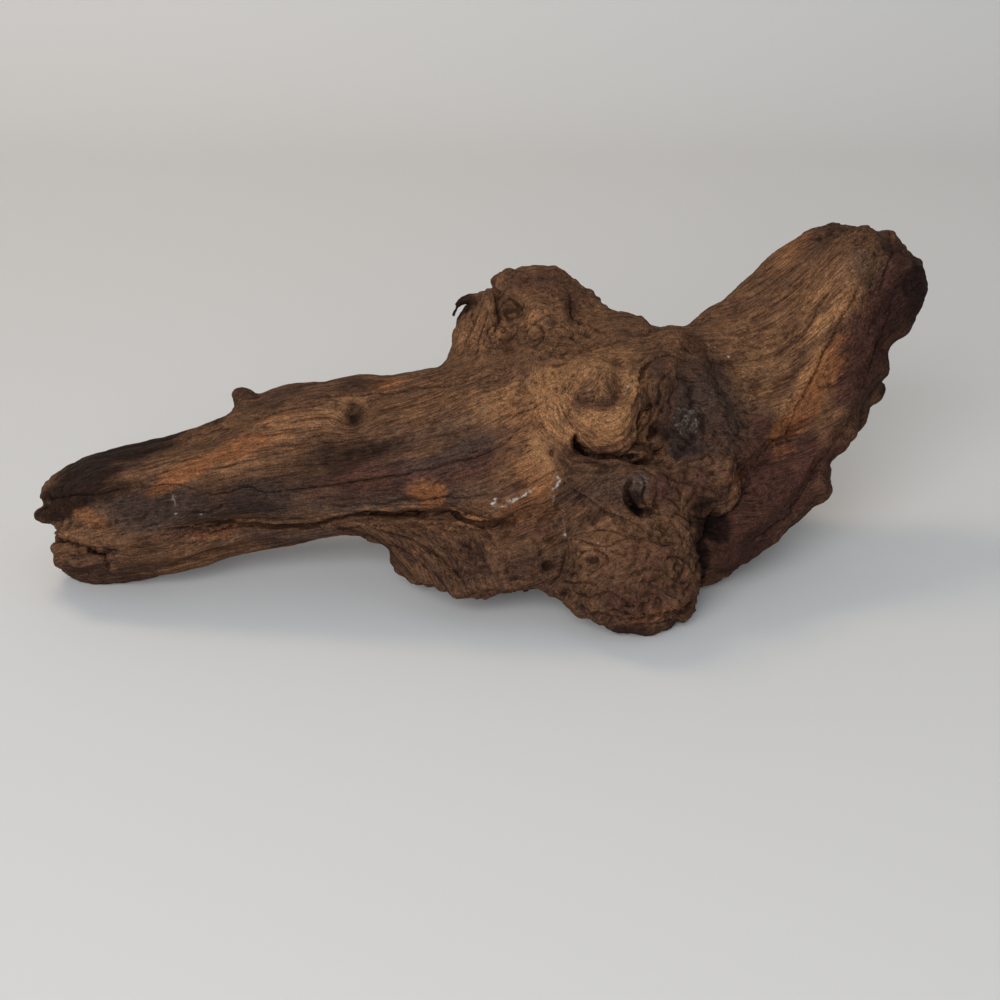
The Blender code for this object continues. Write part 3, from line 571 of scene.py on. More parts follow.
# Edges below which the wood falls back from the camera: reach, then (across, up, how far back)
STEPS = {
    "plank": (5, [(-108, -7, 0.4), (-100, -6.6, 1.4), (-84, -7.5, 2.8), (-67, -8.3, 3.4), (-58, -6.7, 4),
        (-53.3, -5.7, 4.4), (-44.7, -4, 4.6), (-33.3, -3.7, 4.6), (-23.3, -3, 4.4), (-17, -3, 4),
        (-13.3, -5.3, 3.4), (-9.3, -6.7, 3.2), (-3.3, -7, 3), (2, -5.7, 2.6), (5.3, -4.3, 1)]),
    "tip": (5, [(-150.5, -9.6, 2), (-145, -13.2, 3), (-139.3, -14.5, 3), (-134.9, -16.3, 3),
        (-131.7, -17.7, 3), (-130.8, -21.5, 2), (-126, -25.3, 0.5)]),
    "lip_right": (5, [(42.5, 18.6, 0.2), (44.5, 20, 0.9), (46.6, 21.8, 2.2), (49.6, 25.5, 3),
        (51, 30, 3), (49.6, 34.5, 2.4), (48, 39, 2), (48.6, 44, 1.6), (52, 48, 0.6)][::-1]),
    "lip": (1.1, [(25.2, 21.8, 1.5), (26.6, 19.3, 4), (28.4, 18, 5), (30.4, 16.6, 5), (33.2, 15.7, 4),
        (37.9, 15.6, 2.5), (41.1, 17.4, 1.2)]),
    "slit": (0.9, [(31, 15.4, 3), (37.9, 14.8, 1.8), (44, 14.7, 1.4), (49.4, 14.6, 0.8)]),
    "brow": (5, [(68, -10, 3), (70, -6.8, 4), (75, -5.2, 4), (79.4, 0, 3.5), (80.4, 5, 2.5), (79, 11, 1.5),
        (76, 15, 0.4)]),
    "lobe": (6, [(60, -38, 1), (66, -31, 3), (67.8, -23, 4), (65.2, -17, 4), (67.5, -11, 4)]),
    "socket": (1.2, [(43, -1, 1), (42.4, 3.5, 2.2), (44.4, 8, 0.5)][::-1]),
}
# Hollows of the solid that are partly filled: centre (across, up), half sizes, depth at the centre, how
# fast that grows across, share
FILLED = (((53, 33), (11, 9), -21, 0.6, 0.9), ((60, 22), (8, 11), -18.5, 0.1, 0.9),
    ((39, 15), (12, 3.5), -26.5, 0, 1), ((50, 24), (7, 8), -21.5, 0.5, 0.85),
    ((68, 14), (7, 10), -20, 0, 0.5), ((46.5, 3), (6, 8), -27.9, 0.1, 1))
FILL_ROUNDS = 10
# The nub on the plank's top edge: centre (across, up), half sizes, how far its top leans over
NUB_LEAN = ((-84, 35), (6, 6), 1.6)
# The notch beside the hump, which is shallower than in the solid: centre (across, up), half sizes, lift
NOTCH_LIFT = ((-3.8, 66.5), (2.6, 8), 3.6)
# What stands out more than in the solid: centre (across, up), half sizes, height
SWOLLEN = (((-153, -7), (6, 4), 1.6), ((-85, 34), (5, 4), 0.7), ((66, -33), (4, 3), 1.2),
    ((76, 3), (4, 7), 1.4), ((28, -38), (10, 4), 0.8), ((60, 46), (8, 3), 1), ((43, 40), (3, 8), 0.8))
# Where the wood is ragged: centre (across, up), half sizes, height
RAGGED = (((128, 46), (9, 26), 0.7), ((112, 10), (9, 20), 0.6), ((45, -40), (26, 6), 1.4),
    ((-4, -34), (24, 5), 0.6), ((-150, 0), (6, 16), 1.2), ((66, 20), (10, 18), 0.8),
    ((-140, -22), (14, 8), 0.9))
# Relief of the fibres: waves a millimetre across them and along them, height
FIBRES = ((0.14, 0.010, 0.45), (0.4, 0.028, 0.24), (0.9, 0.06, 0.12))
# Relief of the burl: waves a millimetre, height
LUMPS = ((0.1, 1.1), (0.22, 0.8), (0.5, 0.4), (1, 0.1))
# A filled hollow: where it fades, in half sizes and in depth, and which moves are smoothed after it
FILLED_EDGE, FILLED_BACK, FILLED_CHANGE = (0.75, 1.05), (6, 12), (0.2, 1.0)
# Where a step starts to fall, and on which turn of the skin from the camera
STEP_FALL, STEP_TURN = (-0.25, 0.35), (-0.1, 0.3)
# Between which heights beside its centre the nub starts to lean
NUB_FOOT = (-4, 2)
# The thin splinter over the flap: right end, foot, a line that it lies above (across, up, slope), relief
SPLINTER_END, SPLINTER_FOOT, SPLINTER_LINE, SPLINTER_RELIEF = -7, 61, (-12, 66, 0.3), 0.15
# How far all of the skin is raised, and how much further the burl
SWELLING, BURL_SWELLING = 0.12, 0.15
# How soon the skin counts as facing the camera, and how high folded noise stands
FRONT_STEEPNESS, FOLD_HEIGHT = 2.5, 2.4
# How much weaker the fibres are in the burl, and how high its lumps are in plain wood
BURL_FIBRES, PLAIN_LUMPS = 0.5, 0.1
# Where in the noise the relief is read, how far below nothing its grooves lie, and the fibres' power
RAGGED_WAVES, RAGGED_SEED, RAGGED_LEVEL = 0.16, 21, 0.7
FIBRE_SEED, FIBRE_POWER = 5, 0.8
LUMP_SEED, LUMP_LEVEL = 3, 0.8
# The keel's ridges: waves a millimetre across the fibres, behind and along them, where in the noise, height
KEEL_RIDGES = ((0.26, 0.05, 0.02), 9, 0.75)
# Rings round the knots: turn a millimetre, the strength of a knot with these heights, height, and how much
# more in the burl
RING_TURN, RING_STRENGTH, RING_HEIGHT, BURL_RING_HEIGHT = 2.2, 6, 0.12, 0.16
RING_NOISE = (0.25, 1.5)


def rounded_copy(node):
    """A copy of the node, with rounder facets and an even fine mesh."""
    bm = bmesh.new()
    bm.from_mesh(node.data)
    bmesh.ops.remove_doubles(bm, verts=bm.verts, dist=WELD * MM)
    mesh = bpy.data.meshes.new("wood")
    bm.to_mesh(mesh)
    bm.free()
    copy = bpy.data.objects.new("wood", mesh)
    bpy.context.scene.collection.objects.link(copy)
    finer = copy.modifiers.new("finer", "SUBSURF")
    finer.levels = finer.render_levels = 2
    skin = copy.modifiers.new("skin", "REMESH")
    skin.mode = "VOXEL"
    skin.voxel_size = FINE_VOXEL * MM
    apply_modifiers(copy)
    return copy


def thin_out(thing):
    """Fewer triangles, where the skin is flat."""
    triangles = sum(len(face.vertices) - 2 for face in thing.data.polygons)
    thinner = thing.modifiers.new("thinner", "DECIMATE")
    thinner.ratio = min(1.0, TRIANGLE_LIMIT / triangles)
    apply_modifiers(thing)


def fine_skin(node):
    """A copy of the node with its facets smoothed away and the wood's relief raised on it."""
    wood = rounded_copy(node)
    mesh = wood.data
    points, edges = read_points(mesh) / MM, read_edges(mesh)
    points = smoothed(points, edges, FACET_ROUNDS, 1.0)
    sight = to_sight(points)
    moved = points + SIGHT * fill_depth(sight)[:, None]
    changed = smooth_step(np.abs(moved - points).max(1), *FILLED_CHANGE)
    points = moved + changed[:, None] * (smoothed(moved, edges, FILL_ROUNDS) - moved)
    points[:, 0] -= nub_lean(sight)
    points += UPRIGHT * notch_lift(to_sight(points))[:, None]
    write_points(mesh, points)
    points += read_points(mesh, "normal") * fullness(to_sight(points))[:, None]
    write_points(mesh, points)
    points += SIGHT * step_depth(to_sight(points), read_points(mesh, "normal"))[:, None]
    write_points(mesh, points)
    normals, sight = read_points(mesh, "normal"), to_sight(points)
    relief = np.where(on_splinter(sight), SPLINTER_RELIEF, fine_relief(sight, normals, grain_fields(sight)))
    write_points(mesh, points + normals * relief[:, None])
    thin_out(wood)
    low, high = (np.array(corner) / MM for corner in cad_box)
    write_points(wood.data, np.clip(read_points(wood.data) / MM, low + BOX_MARGIN, high - BOX_MARGIN))
    return wood


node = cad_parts["driftwood_root"]
wood = fine_skin(node)
wood.data.shade_smooth()
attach(wood, "root")
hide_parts("driftwood_root")


# Linear colours of the wood
BARE = (0.100, 0.0495, 0.0265)
PALE = (0.245, 0.122, 0.056)
DEEP = (0.047, 0.0238, 0.0160)
ORANGE = (0.185, 0.073, 0.030)
RED = (0.056, 0.0225, 0.0170)
# Charred wood, also used for painted shade under the plank's ledge and in the gap under the brow
CHARRED_AND_SHADE = (0.0115, 0.0051, 0.0036)
GREY = (0.045, 0.0315, 0.0270)
CHALK = (0.44, 0.38, 0.33)

# Stains: across, up, half sizes, tilt in degrees, strength
STAINS = {
    # Charred wood, and two patches of painted shade, noted below
    "charred": [
        (-138, 8, 20, 9, 24, 1), (-118, 20, 16, 5, 24, 0.95), (-98, 28, 12, 3, 22, 0.6),
        (-150, -5, 8, 4, 0, 0.9), (-116, -1, 20, 6.5, 9, 0.45), (-128, 3, 12, 6, 6, 0.7),
        (-90, 1, 20, 9, 10, 0.55), (-74, 5, 12, 9, 14, 0.5), (-66, 9, 15, 8, 14, 0.45),
        (-50, 15, 13, 6, 14, 0.6), (-30, 19, 13, 5, 8, 0.15), (-49, 28, 5, 5, 0, 0.7),
        (-46, 39, 9, 4, 6, 0.6), (-42, 5, 12, 4, 4, 0.35), (54, 23, 5, 6, 0, 0.95), (61, 22, 10, 8, 0, 0.6),
        (42, 12, 12, 2.6, 0, 0.4), (44.5, -1.5, 2.4, 4, 10, 0.9), (88, 24, 5, 3, 20, 0.4),
        (24.5, 65, 3, 5, 0, 0.3), (66, 42, 7, 6, -30, 0.3), (68, -3, 5, 7, -10, 0.7),
        # The first patch in this row is painted shade in the dark gap under the brow.
        (72, -10, 5, 5, 0, 1), (67, -19, 2, 8, 0, 0.9), (82, -16, 16, 7, 40, 0.45),
        (92, -2, 12, 6, 50, 0.25), (141, 72, 7, 20, -14, 1), (134, 64, 8, 20, -22, 0.65),
        (128, 50, 8, 16, -35, 0.5), (132, 36, 4, 7, -20, 0.8), (118, 28, 6, 12, -30, 0.4),
        (30, 14.5, 10, 2, 0, 0.7), (2, 65, 4, 4, 0, 0.4), (44, -44, 14, 3, 0, 0.65),
        # The first patch in this row is painted shade under the plank's ledge.
        (-32, -6.5, 24, 1.6, 2, 0.3), (-12.5, 65.5, 6, 4, 30, 1), (138, 84, 10, 8, -20, 0.5),
        (126, 44, 8, 12, -30, 0.5),
    ],
    "orange": [
        (-103, 10, 19, 3.4, 27, 1), (-88, 18, 14, 4.5, 22, 0.75), (-72, 26, 16, 5, 18, 0.25),
        (-138, -6, 11, 3.6, -20, 0.6), (-25, 3, 5.5, 5.5, 0, 1), (-38, 40, 6, 4, 0, 0.7),
        (10, 8, 7, 13, 30, 0.5), (8, 26, 14, 10, 30, 0.3), (104, 36, 5, 22, -32, 0.8),
        (98, 24, 6, 4, 20, 0.6), (94, 17, 6, 4, 20, 0.6), (-96, -10, 10, 2, 8, 0.5), (78, 5, 3, 7, 0, 0.55),
        (54, -38, 10, 3, 10, 0.3), (10, -5, 12, 4, 10, 0.4), (96, 84, 14, 6, 50, 0.4),
        (16, -14, 4, 6, 0, 0.3), (40, -16, 16, 10, 0, 0.25),
    ],
    "pale": [
        (14, 38, 9, 8, 20, 0.8), (19, 29, 9, 8, 40, 0.9), (26, 24, 9, 7, 20, 0.9), (33, 21, 9, 5, 0, 0.8),
        (40, 27, 5, 8, -20, 0.8), (42, 37, 4, 9, -10, 0.8), (30, 44, 18, 7, 10, 0.65),
        (-66, 26, 26, 5, 18, 0.5), (-25, 3, 5, 5, 0, 0.5), (84, 42, 10, 11, -30, 0.6),
        (114, 65, 7, 10, -35, 0.7), (-100, -15, 20, 3, 6, 0.3), (14, 58, 20, 12, 0, 0.25),
        (100, 66, 9, 26, -42, 0.3), (-10, 55, 8, 12, 0, 0.35), (94, 80, 9, 5, 50, 0.4),
        (2, 32, 18, 9, 15, 0.6), (11, 14, 9, 12, 30, 0.9), (40, -18, 20, 10, 0, 0.35),
        (-23, -8.5, 26, 2, 3, 0.4), (78, 5, 3, 8, 0, 0.35), (102, 40, 4, 16, -30, 0.6),
        (110, 62, 4, 14, -25, 0.7), (84, 50, 10, 14, -30, 0.25), (-24, 30, 20, 6, 12, 0.4),
    ],
    "red": [
        (-10, 11, 26, 7, 14, 0.7), (-40, 7, 26, 7, 10, 0.7), (92, 8, 22, 16, 50, 0.9),
        (84, -12, 18, 11, 40, 1), (126, 58, 11, 28, -28, 1), (88, 24, 6, 4, 20, 0.8),
        (50, -34, 22, 9, 0, 0.5), (-140, -3, 10, 3, -10, 0.4), (8, -8, 8, 5, 0, 0.4),
        (27, 34, 2.5, 2, 0, 0.6), (35, 33.5, 2, 2, 0, 0.6), (26, 57, 4, 4, 0, 0.4), (24.5, 65, 4, 6, 0, 0.8),
        (12, 72, 10, 4, 0, 0.5), (56, 3, 5, 6, 0, 0.8), (66, 4, 5, 8, 0, 0.5), (48, -18, 16, 10, 0, 0.5),
    ],
    "grey": [
        (-116, -2, 22, 8, 9, 0.9), (-78, 2, 14, 9, 10, 0.9), (-18, 14, 28, 8, 16, 0.8),
        (-36, 1, 40, 6, 5, 0.7), (-24, 22, 24, 8, 14, 0.4), (84, 28, 8, 12, -20, 0.4),
        (33, 4, 14, 9, 0, 0.45), (62, 22, 9, 9, 0, 0.9), (68, 36, 10, 14, 0, 0.6), (46, 5, 4, 5, 0, 0.7),
        (-98, 0, 24, 7, 8, 0.5), (20, -14, 18, 10, 0, 0.35), (40, -18, 22, 12, 0, 0.35),
        (-70, -11, 36, 3, 4, 0.45), (-66, 9, 18, 6, 14, 0.4), (124, 76, 8, 8, 0, 0.3),
        (74, 28, 8, 18, 0, 0.5), (84, 42, 9, 10, -30, 0.35),
    ],
    "chalk": [
        (-95.4, 11.7, 1, 1, 0, 1), (119, 80, 4, 6, -20, 0.3), (62, 26, 7, 7, 0, 0.32),
        (-28, 12, 6, 2, 20, 0.25), (34, -11, 12, 3, -10, 0.25), (30, -24, 8, 3, 0, 0.2),
        (115, 78, 4, 4, 0, 0.25), (46, 6, 3, 3, 0, 0.3),
    ],
}
# Edges rubbed pale: half width, then (across, up, strength)
RUBBED = (
    (0.8, [(-70, -7.2, 0.3), (-57, -5.6, 0.6), (-45, -3, 0.9), (-30, -2.4, 0.9), (-18, -1.9, 1),
        (-13, -4.2, 1), (-9, -5.6, 1), (-3, -6, 0.9), (3, -4.2, 0.5)]),
    (0.9, [(27, 20.5, 0.5), (30.4, 17.8, 0.9), (34, 16.6, 0.9), (38.5, 17, 0.9), (43, 20, 0.9),
        (47, 24, 0.8), (49, 29, 0.6)]),
    (0.7, [(36, -37.5, 0.4), (44, -38.6, 0.8), (52, -37, 0.8), (60, -34, 0.6)]),
    (0.7, [(-149, -8.5, 0.5), (-144, -11.6, 0.7), (-138, -13.2, 0.7), (-133, -15.5, 0.5)]),
    (0.8, [(76, -3.4, 0.5), (78.6, 1, 0.9), (79.4, 6, 0.8), (78, 10, 0.4)]),
    (0.6, [(-56, -8, 0.4), (-46, -8.2, 0.8), (-38, -9.8, 0.9)]),
    (0.6, [(-24, -14, 0.3), (-18, -21, 0.8), (-14, -27, 0.8)]),
)
# Chalk strokes: half width, then (across, up, strength)
STROKES = (
    (0.75, [(18.7, 8.7, 0.9), (19.7, 5.7, 1), (17.4, 3.3, 0.9), (17.8, -1.2, 0.8)]),
    (0.65, [(21.2, -4, 0.8), (21.2, -8, 0.4), (21.9, -12, 0.8)]),
    (0.7, [(0.5, 4, 0.6), (-1.5, 0, 0.9), (-4, -4.3, 0.6)]),
    (0.7, [(12.2, 4.7, 0.5), (6.2, 0.7, 0.9), (2, -1.5, 0.9), (-2.8, -3.9, 0.7)]),
    (0.6, [(26.4, 36, 0.3), (28.4, 36.9, 0.6), (30.4, 36, 0.6), (32.6, 33, 0.2)]),
    (0.7, [(39.4, 33, 0.3), (41.5, 36.4, 0.6), (44.7, 41, 0.4), (47.2, 44.5, 0.3)]),
    (0.6, [(49, 48.6, 0.2), (53, 50, 0.4), (57, 49.6, 0.4), (60, 47.4, 0.3)]),
    (0.6, [(67, 51.8, 0.4), (72, 50.4, 0.5), (77, 47.4, 0.7)]),
    (0.8, [(-109.3, 1.4, 0.6), (-108.2, -2, 0.8), (-108.6, -6, 0.7)]),
    (0.45, [(-102, -5, 0.5), (-96, -5.6, 0.6), (-91, -6.4, 0.5)]),
    (0.45, [(29, 0.8, 0.2), (34, -2.4, 0.4), (40, -5.4, 0.4), (45, -7.8, 0.2)]),
    (0.45, [(26, -12.4, 0.3), (31, -13.6, 0.5), (36, -16, 0.4)]),
)

# Stains out of the camera's sight: where in the noise each is read, from what value on it shows, strength
BACK_STAINS = {
    "charred": (100, 0.12, 0.8),
    "orange": (200, 0.15, 0.8),
    "pale": (300, 0.15, 0.6),
    "red": (400, 0.1, 0.6),
    "grey": (500, 0.15, 0.7),
    "chalk": (600, 0.45, 0.4),
}
# Their waves a millimetre across and along the fibres, what streaks add, over how much they fade in
BACK_WAVES, BACK_STREAK, BACK_FADE = (0.05, 0.012), 0.3, 0.4
# The turn of the skin, from the camera, at which the stains of the back give way to those in sight
BACK_TURN = (-0.35, 0.15)
# Streaks in the stains: waves a millimetre across and along the fibres, and how much they eat at the edges
STREAKS, STREAK_SHARE = (0.2, 0.02), 0.5
# Blots at their edges: waves a millimetre, height
STAIN_BLOTS = ((0.09, 0.35), (0.25, 0.2))
# Where stains and darker wood fade, in their half sizes
STAIN_FADE, UMBER_FADE = (0.45, 1.35), (0.4, 1.4)
UMBER_BLOTS = (0.07, 0.3)
BACK_UMBER = 0.5
# How the strokes are broken: waves a millimetre, where in the noise, height, middle
BREAKS = (0.5, 70, 1.5, 0.85)
# Rounds of smoothing that show fine and broad hollows, where the shader paints shade, and fine ridges, where
# it paints light
HOLLOW_ROUNDS = (4, 40)


def patches(sight, places, ragged, start, end):
    """The share, from 0 to 1, of patches that fade from start to end times their half sizes."""
    drawn = shifted(sight, STAIN_SHIFT)
    share = np.zeros(len(sight))
    for x, y, wide, high, tilt, strength in places:
        cosine, sine = math.cos(math.radians(tilt)), math.sin(math.radians(tilt))
        gap = (drawn - (x, y)) @ ((cosine, -sine), (sine, cosine))
        reach = np.hypot(*(gap / (wide, high)).T)
        share = np.maximum(share, strength * (1 - smooth_step(reach + ragged, start, end)))
    return share


def back_share(normals):
    return 1 - smooth_step(-(normals @ SIGHT), *BACK_TURN)


def stain_share(name, sight, normals, fields):
    """How much of that stain each point has, from 0 to 1."""
    streak = grain_noise(fields, *STREAKS)
    ragged = STREAK_SHARE * streak
    for waves, height in STAIN_BLOTS:
        ragged = ragged + height * noise_at(sight * waves)
    share = patches(sight, STAINS[name], ragged, *STAIN_FADE)
    drawn = shifted(sight)
    waves, seed, height, middle = BREAKS
    for half_width, line in {"chalk": STROKES, "pale": RUBBED}.get(name, ()):
        near, (far, _, _, strength) = near_line(drawn, smooth_line(line, 3), 3 * half_width)
        broken = np.clip(middle + height * noise_at(sight[near] * waves + seed), 0, 1)
        share[near] = np.maximum(share[near], broken * strength * fade(far, half_width))
    seed, level, strength = BACK_STAINS[name]
    slow = grain_noise(fields, *BACK_WAVES, seed) + BACK_STREAK * streak
    elsewhere = strength * smooth_step(slow, level, level + BACK_FADE)
    back = back_share(normals)
    return np.clip((1 - back) * share + back * elsewhere, 0, 1)


def umber_share(sight, normals):
    waves, height = UMBER_BLOTS
    share = patches(sight, UMBER, height * noise_at(sight * waves), *UMBER_FADE)
    back = back_share(normals)
    return share * (1 - back) + BACK_UMBER * back


def add_attribute(mesh, name, columns):
    made = mesh.attributes.new(name, "FLOAT_VECTOR", "POINT")
    made.data.foreach_set("vector", np.column_stack(columns).astype(np.float32).ravel())


def mark_skin(mesh):
    """Stores the grain places, stains and hollows on the mesh, for the wood's shader."""
    points, normals, edges = read_points(mesh) / MM, read_points(mesh, "normal"), read_edges(mesh)
    sight = to_sight(points)
    fields = grain_fields(sight)
    stains = {name: stain_share(name, sight, normals, fields) for name in STAINS}
    # How far each point lies below its fine and its broad surroundings, from which the shader paints shade
    # and light
    fine, broad = (
        ((smoothed(points, edges, rounds) - points) * normals).sum(1) for rounds in HOLLOW_ROUNDS
    )
    add_attribute(mesh, "grain_one", fields[0].T)
    add_attribute(mesh, "grain_two", fields[1].T)
    add_attribute(mesh, "stain_a", [stains[name] for name in ("charred", "orange", "pale")])
    add_attribute(mesh, "stain_b", [stains[name] for name in ("red", "grey", "chalk")])
    add_attribute(mesh, "shape", [fine, broad, carved_depth(shifted(sight), facing(normals))])
    add_attribute(mesh, "shares", [fields[2], burl_share(sight[:, :2]), umber_share(sight, normals)])


class Graph:
    """Short ways to add and link shader nodes."""

    def __init__(self, material):
        material.use_nodes = True
        self.tree = material.node_tree
        self.shader = self.tree.nodes["Principled BSDF"]

    def put(self, socket, value):
        if isinstance(value, bpy.types.NodeSocket):
            self.tree.links.new(value, socket)
        elif isinstance(value, tuple) and len(value) == 3 and socket.type == "RGBA":
            socket.default_value = (*value, 1)
        else:
            socket.default_value = value

    def node(self, kind, settings=(), **inputs):
        made = self.tree.nodes.new(kind)
        for key, value in dict(settings).items():
            setattr(made, key, value)
        for key, value in inputs.items():
            self.put(made.inputs[key.replace("_", " ")], value)
        return made

    def parts(self, name):
        """The three values of a vector that is stored on the mesh."""
        made = self.node("ShaderNodeSeparateXYZ", Vector=self.attribute(name))
        return [made.outputs[axis] for axis in "XYZ"]

    def attribute(self, name):
        return self.node("ShaderNodeAttribute", {"attribute_name": name}).outputs["Vector"]

    def stretch(self, vector, factors):
        made = self.node("ShaderNodeMapping", {"vector_type": "POINT"}, Vector=vector, Scale=factors)
        return made.outputs["Vector"]

    def noise(self, vector, detail, roughness):
        made = self.node("ShaderNodeTexNoise", Vector=vector, Scale=1.0, Detail=detail, Roughness=roughness)
        return made.outputs["Fac"]

    def math(self, operation, first, second):
        made = self.node("ShaderNodeMath", {"operation": operation})
        self.put(made.inputs[0], first)
        self.put(made.inputs[1], second)
        return made.outputs[0]

    def times(self, first, second):
        return self.math("MULTIPLY", first, second)

    def total(self, values, weights, start=0.0):
        """The start and the named values, each times its weight, added up."""
        found = start
        for name, weight in weights.items():
            found = self.math("ADD", found, self.times(values[name], weight))
        return found

    def fit(self, value, low, high, to_low=0.0, to_high=1.0):
        made = self.node("ShaderNodeMapRange", {"interpolation_type": "SMOOTHSTEP"}, Value=value)
        for key, number in (("From Min", low), ("From Max", high), ("To Min", to_low), ("To Max", to_high)):
            made.inputs[key].default_value = number
        return made.outputs["Result"]

    def mix(self, share, first, second, blend="MIX"):
        made = self.node("ShaderNodeMix", {"data_type": "RGBA", "blend_type": blend, "clamp_factor": True})
        self.put(made.inputs["Factor"], share)
        self.put(made.inputs[6], first)
        self.put(made.inputs[7], second)
        return made.outputs[2]


# Waves along the fibres: how many a millimetre across them and along them, detail, roughness
GRAIN_WAVES = {
    "bands": (0.2, 0.010, 3.0, 0.5),
    "fibres": (1.1, 0.05, 3.0, 0.6),
    "hairs": (2.0, 0.22, 3.0, 0.75),
}
# Blots that don't follow the fibres: how many a millimetre, detail, roughness
BLOTS = {
    "mottle": (0.12, 4.0, 0.6),
    "crumbs": (0.6, 3.0, 0.65),
    "grit": (1.8, 3.0, 0.6),
    "flecks": (0.8, 5.0, 0.75),
}
# How much each counts in the tone of bare wood, and between which tones its colours lie
TONE = {"bands": 0.5, "fibres": 0.6, "mottle": 0.5, "pale": 0.42, "umber": -0.25}
DARK_TONE, LIGHT_TONE = (0.5, 0.86), (0.82, 1.3)
# The stains in the order in which they lie on the wood: colour, strength. Charred also paints shade
LAID = {"grey": (GREY, 0.8), "red": (RED, 0.75), "orange": (ORANGE, 0.85), "charred": (CHARRED_AND_SHADE, 0.93)}
# What draws the stains' edges out along the fibres, and over which shares of a stain that and it grow
EDGE, EDGE_START, EDGE_GROWS, STAIN_GROWS = {"fibres": 0.9, "bands": 0.54}, -0.72, (0, 0.25), (0.05, 0.95)
# Fine marks: read from what, between which values they grow, strength, and the tint that they multiply in
MARKS = (
    ("crumbs", 0.5, 0.34, 0.4, (0.45, 0.4, 0.38)),
    ("crumbs", 0.52, 0.68, 0.4, (1.6, 1.55, 1.5)),
    ("fibres", 0.5, 0.34, 0.5, (0.4, 0.34, 0.31)),
    ("hairs", 0.5, 0.36, 0.62, (0.35, 0.3, 0.27)),
    ("hairs", 0.5, 0.66, 0.5, (2.0, 1.85, 1.7)),
    ("grit", 0.52, 0.66, 0.6, (0.4, 0.35, 0.32)),
    ("grit", 0.47, 0.34, 0.5, (1.8, 1.7, 1.6)),
    # Painted light and shade from the skin's shape: shade in fine hollows, light on fine ridges, shade in
    # broad hollows
    ("fine", 0.02, 0.2, 0.6, (0.3, 0.24, 0.22)),
    ("fine", -0.02, -0.16, 0.3, (1.45, 1.35, 1.25)),
    ("broad", 0.3, 1.8, 0.55, (0.3, 0.25, 0.22)),
    # Painted shade, near black, in the cracks and pits, by how deep they are cut
    ("cut", 0.4, 2.0, 0.93, (0.10, 0.08, 0.08)),
)
# How much weaker the hairs are in the burl
BURL_HAIRS = 0.75
# Chalky flecks: how much the stain adds to them, and between which values they and the stain grow
FLECK_STAIN, FLECK_GROWS, CHALK_GROWS = 0.3, (0.58, 0.84), (0.05, 0.7)
# Roughness from plain to charred wood, whose mask also holds painted shade, and what the hairs add
CHARRED_GROWS, ROUGHNESS, HAIR_GROWS, HAIR_ROUGHNESS = (0.2, 0.9), (0.82, 0.62), (0.3, 0.7), (0.08, -0.08)
SHINE = 0.06
# How much each counts in the relief that only the shading shows, its strength, and its height in millimetres
SHADED = {"fibres": 0.9, "hairs": 0.45, "grit": 0.6, "crumbs": 0.8}
SHADED_STRENGTH, SHADED_HEIGHT = 0.9, 0.8


def wood_layers(g):
    """All that the wood's colour and relief are made from."""
    layers = {}
    for name, values in (
        ("stain_a", ("charred", "orange", "pale")),
        ("stain_b", ("red", "grey", "chalk")),
        ("shape", ("fine", "broad", "cut")),
        ("shares", ("second_share", "burl", "umber")),
    ):
        layers.update(zip(values, g.parts(name)))
    courses = g.attribute("grain_one"), g.attribute("grain_two")
    for name, (fast, slow, *form) in GRAIN_WAVES.items():
        first, second = (g.noise(g.stretch(course, (fast, fast, slow)), *form) for course in courses)
        change = g.times(layers["second_share"], g.math("SUBTRACT", second, first))
        layers[name] = g.math("ADD", first, change)
    place = g.node("ShaderNodeTexCoord").outputs["Object"]
    for name, (waves, *form) in BLOTS.items():
        layers[name] = g.noise(g.stretch(place, (waves / MM,) * 3), *form)
    return layers


def bare_wood(g, layers):
    tone = g.total(layers, TONE)
    return g.mix(g.fit(tone, *LIGHT_TONE), g.mix(g.fit(tone, *DARK_TONE), DEEP, BARE), PALE)


def stained(g, layers, colour):
    """The colour with the stains laid on it."""
    ragged = g.total(layers, EDGE, EDGE_START)
    for name, (stain, strength) in LAID.items():
        edge = g.math("ADD", layers[name], g.times(ragged, g.fit(layers[name], *EDGE_GROWS)))
        colour = g.mix(g.fit(edge, *STAIN_GROWS, 0.0, strength), colour, stain)
    return colour


def marked_and_shaded(g, layers, colour):
    """The colour with fibres, grit, painted shade in hollows and cracks and painted light on ridges."""
    straight = g.math("SUBTRACT", 1.0, g.times(layers["burl"], BURL_HAIRS))
    for name, low, high, strength, tint in MARKS:
        share = g.fit(layers[name], low, high, 0.0, strength)
        if name == "hairs":
            share = g.times(share, straight)
        colour = g.mix(share, colour, tint, "MULTIPLY")
    return colour


def chalked(g, layers, colour):
    """The colour with chalky flecks."""
    chalk = layers["chalk"]
    flecks = g.fit(g.total(layers, {"chalk": FLECK_STAIN}, layers["flecks"]), *FLECK_GROWS)
    return g.mix(g.times(flecks, g.fit(chalk, *CHALK_GROWS)), colour, CHALK)


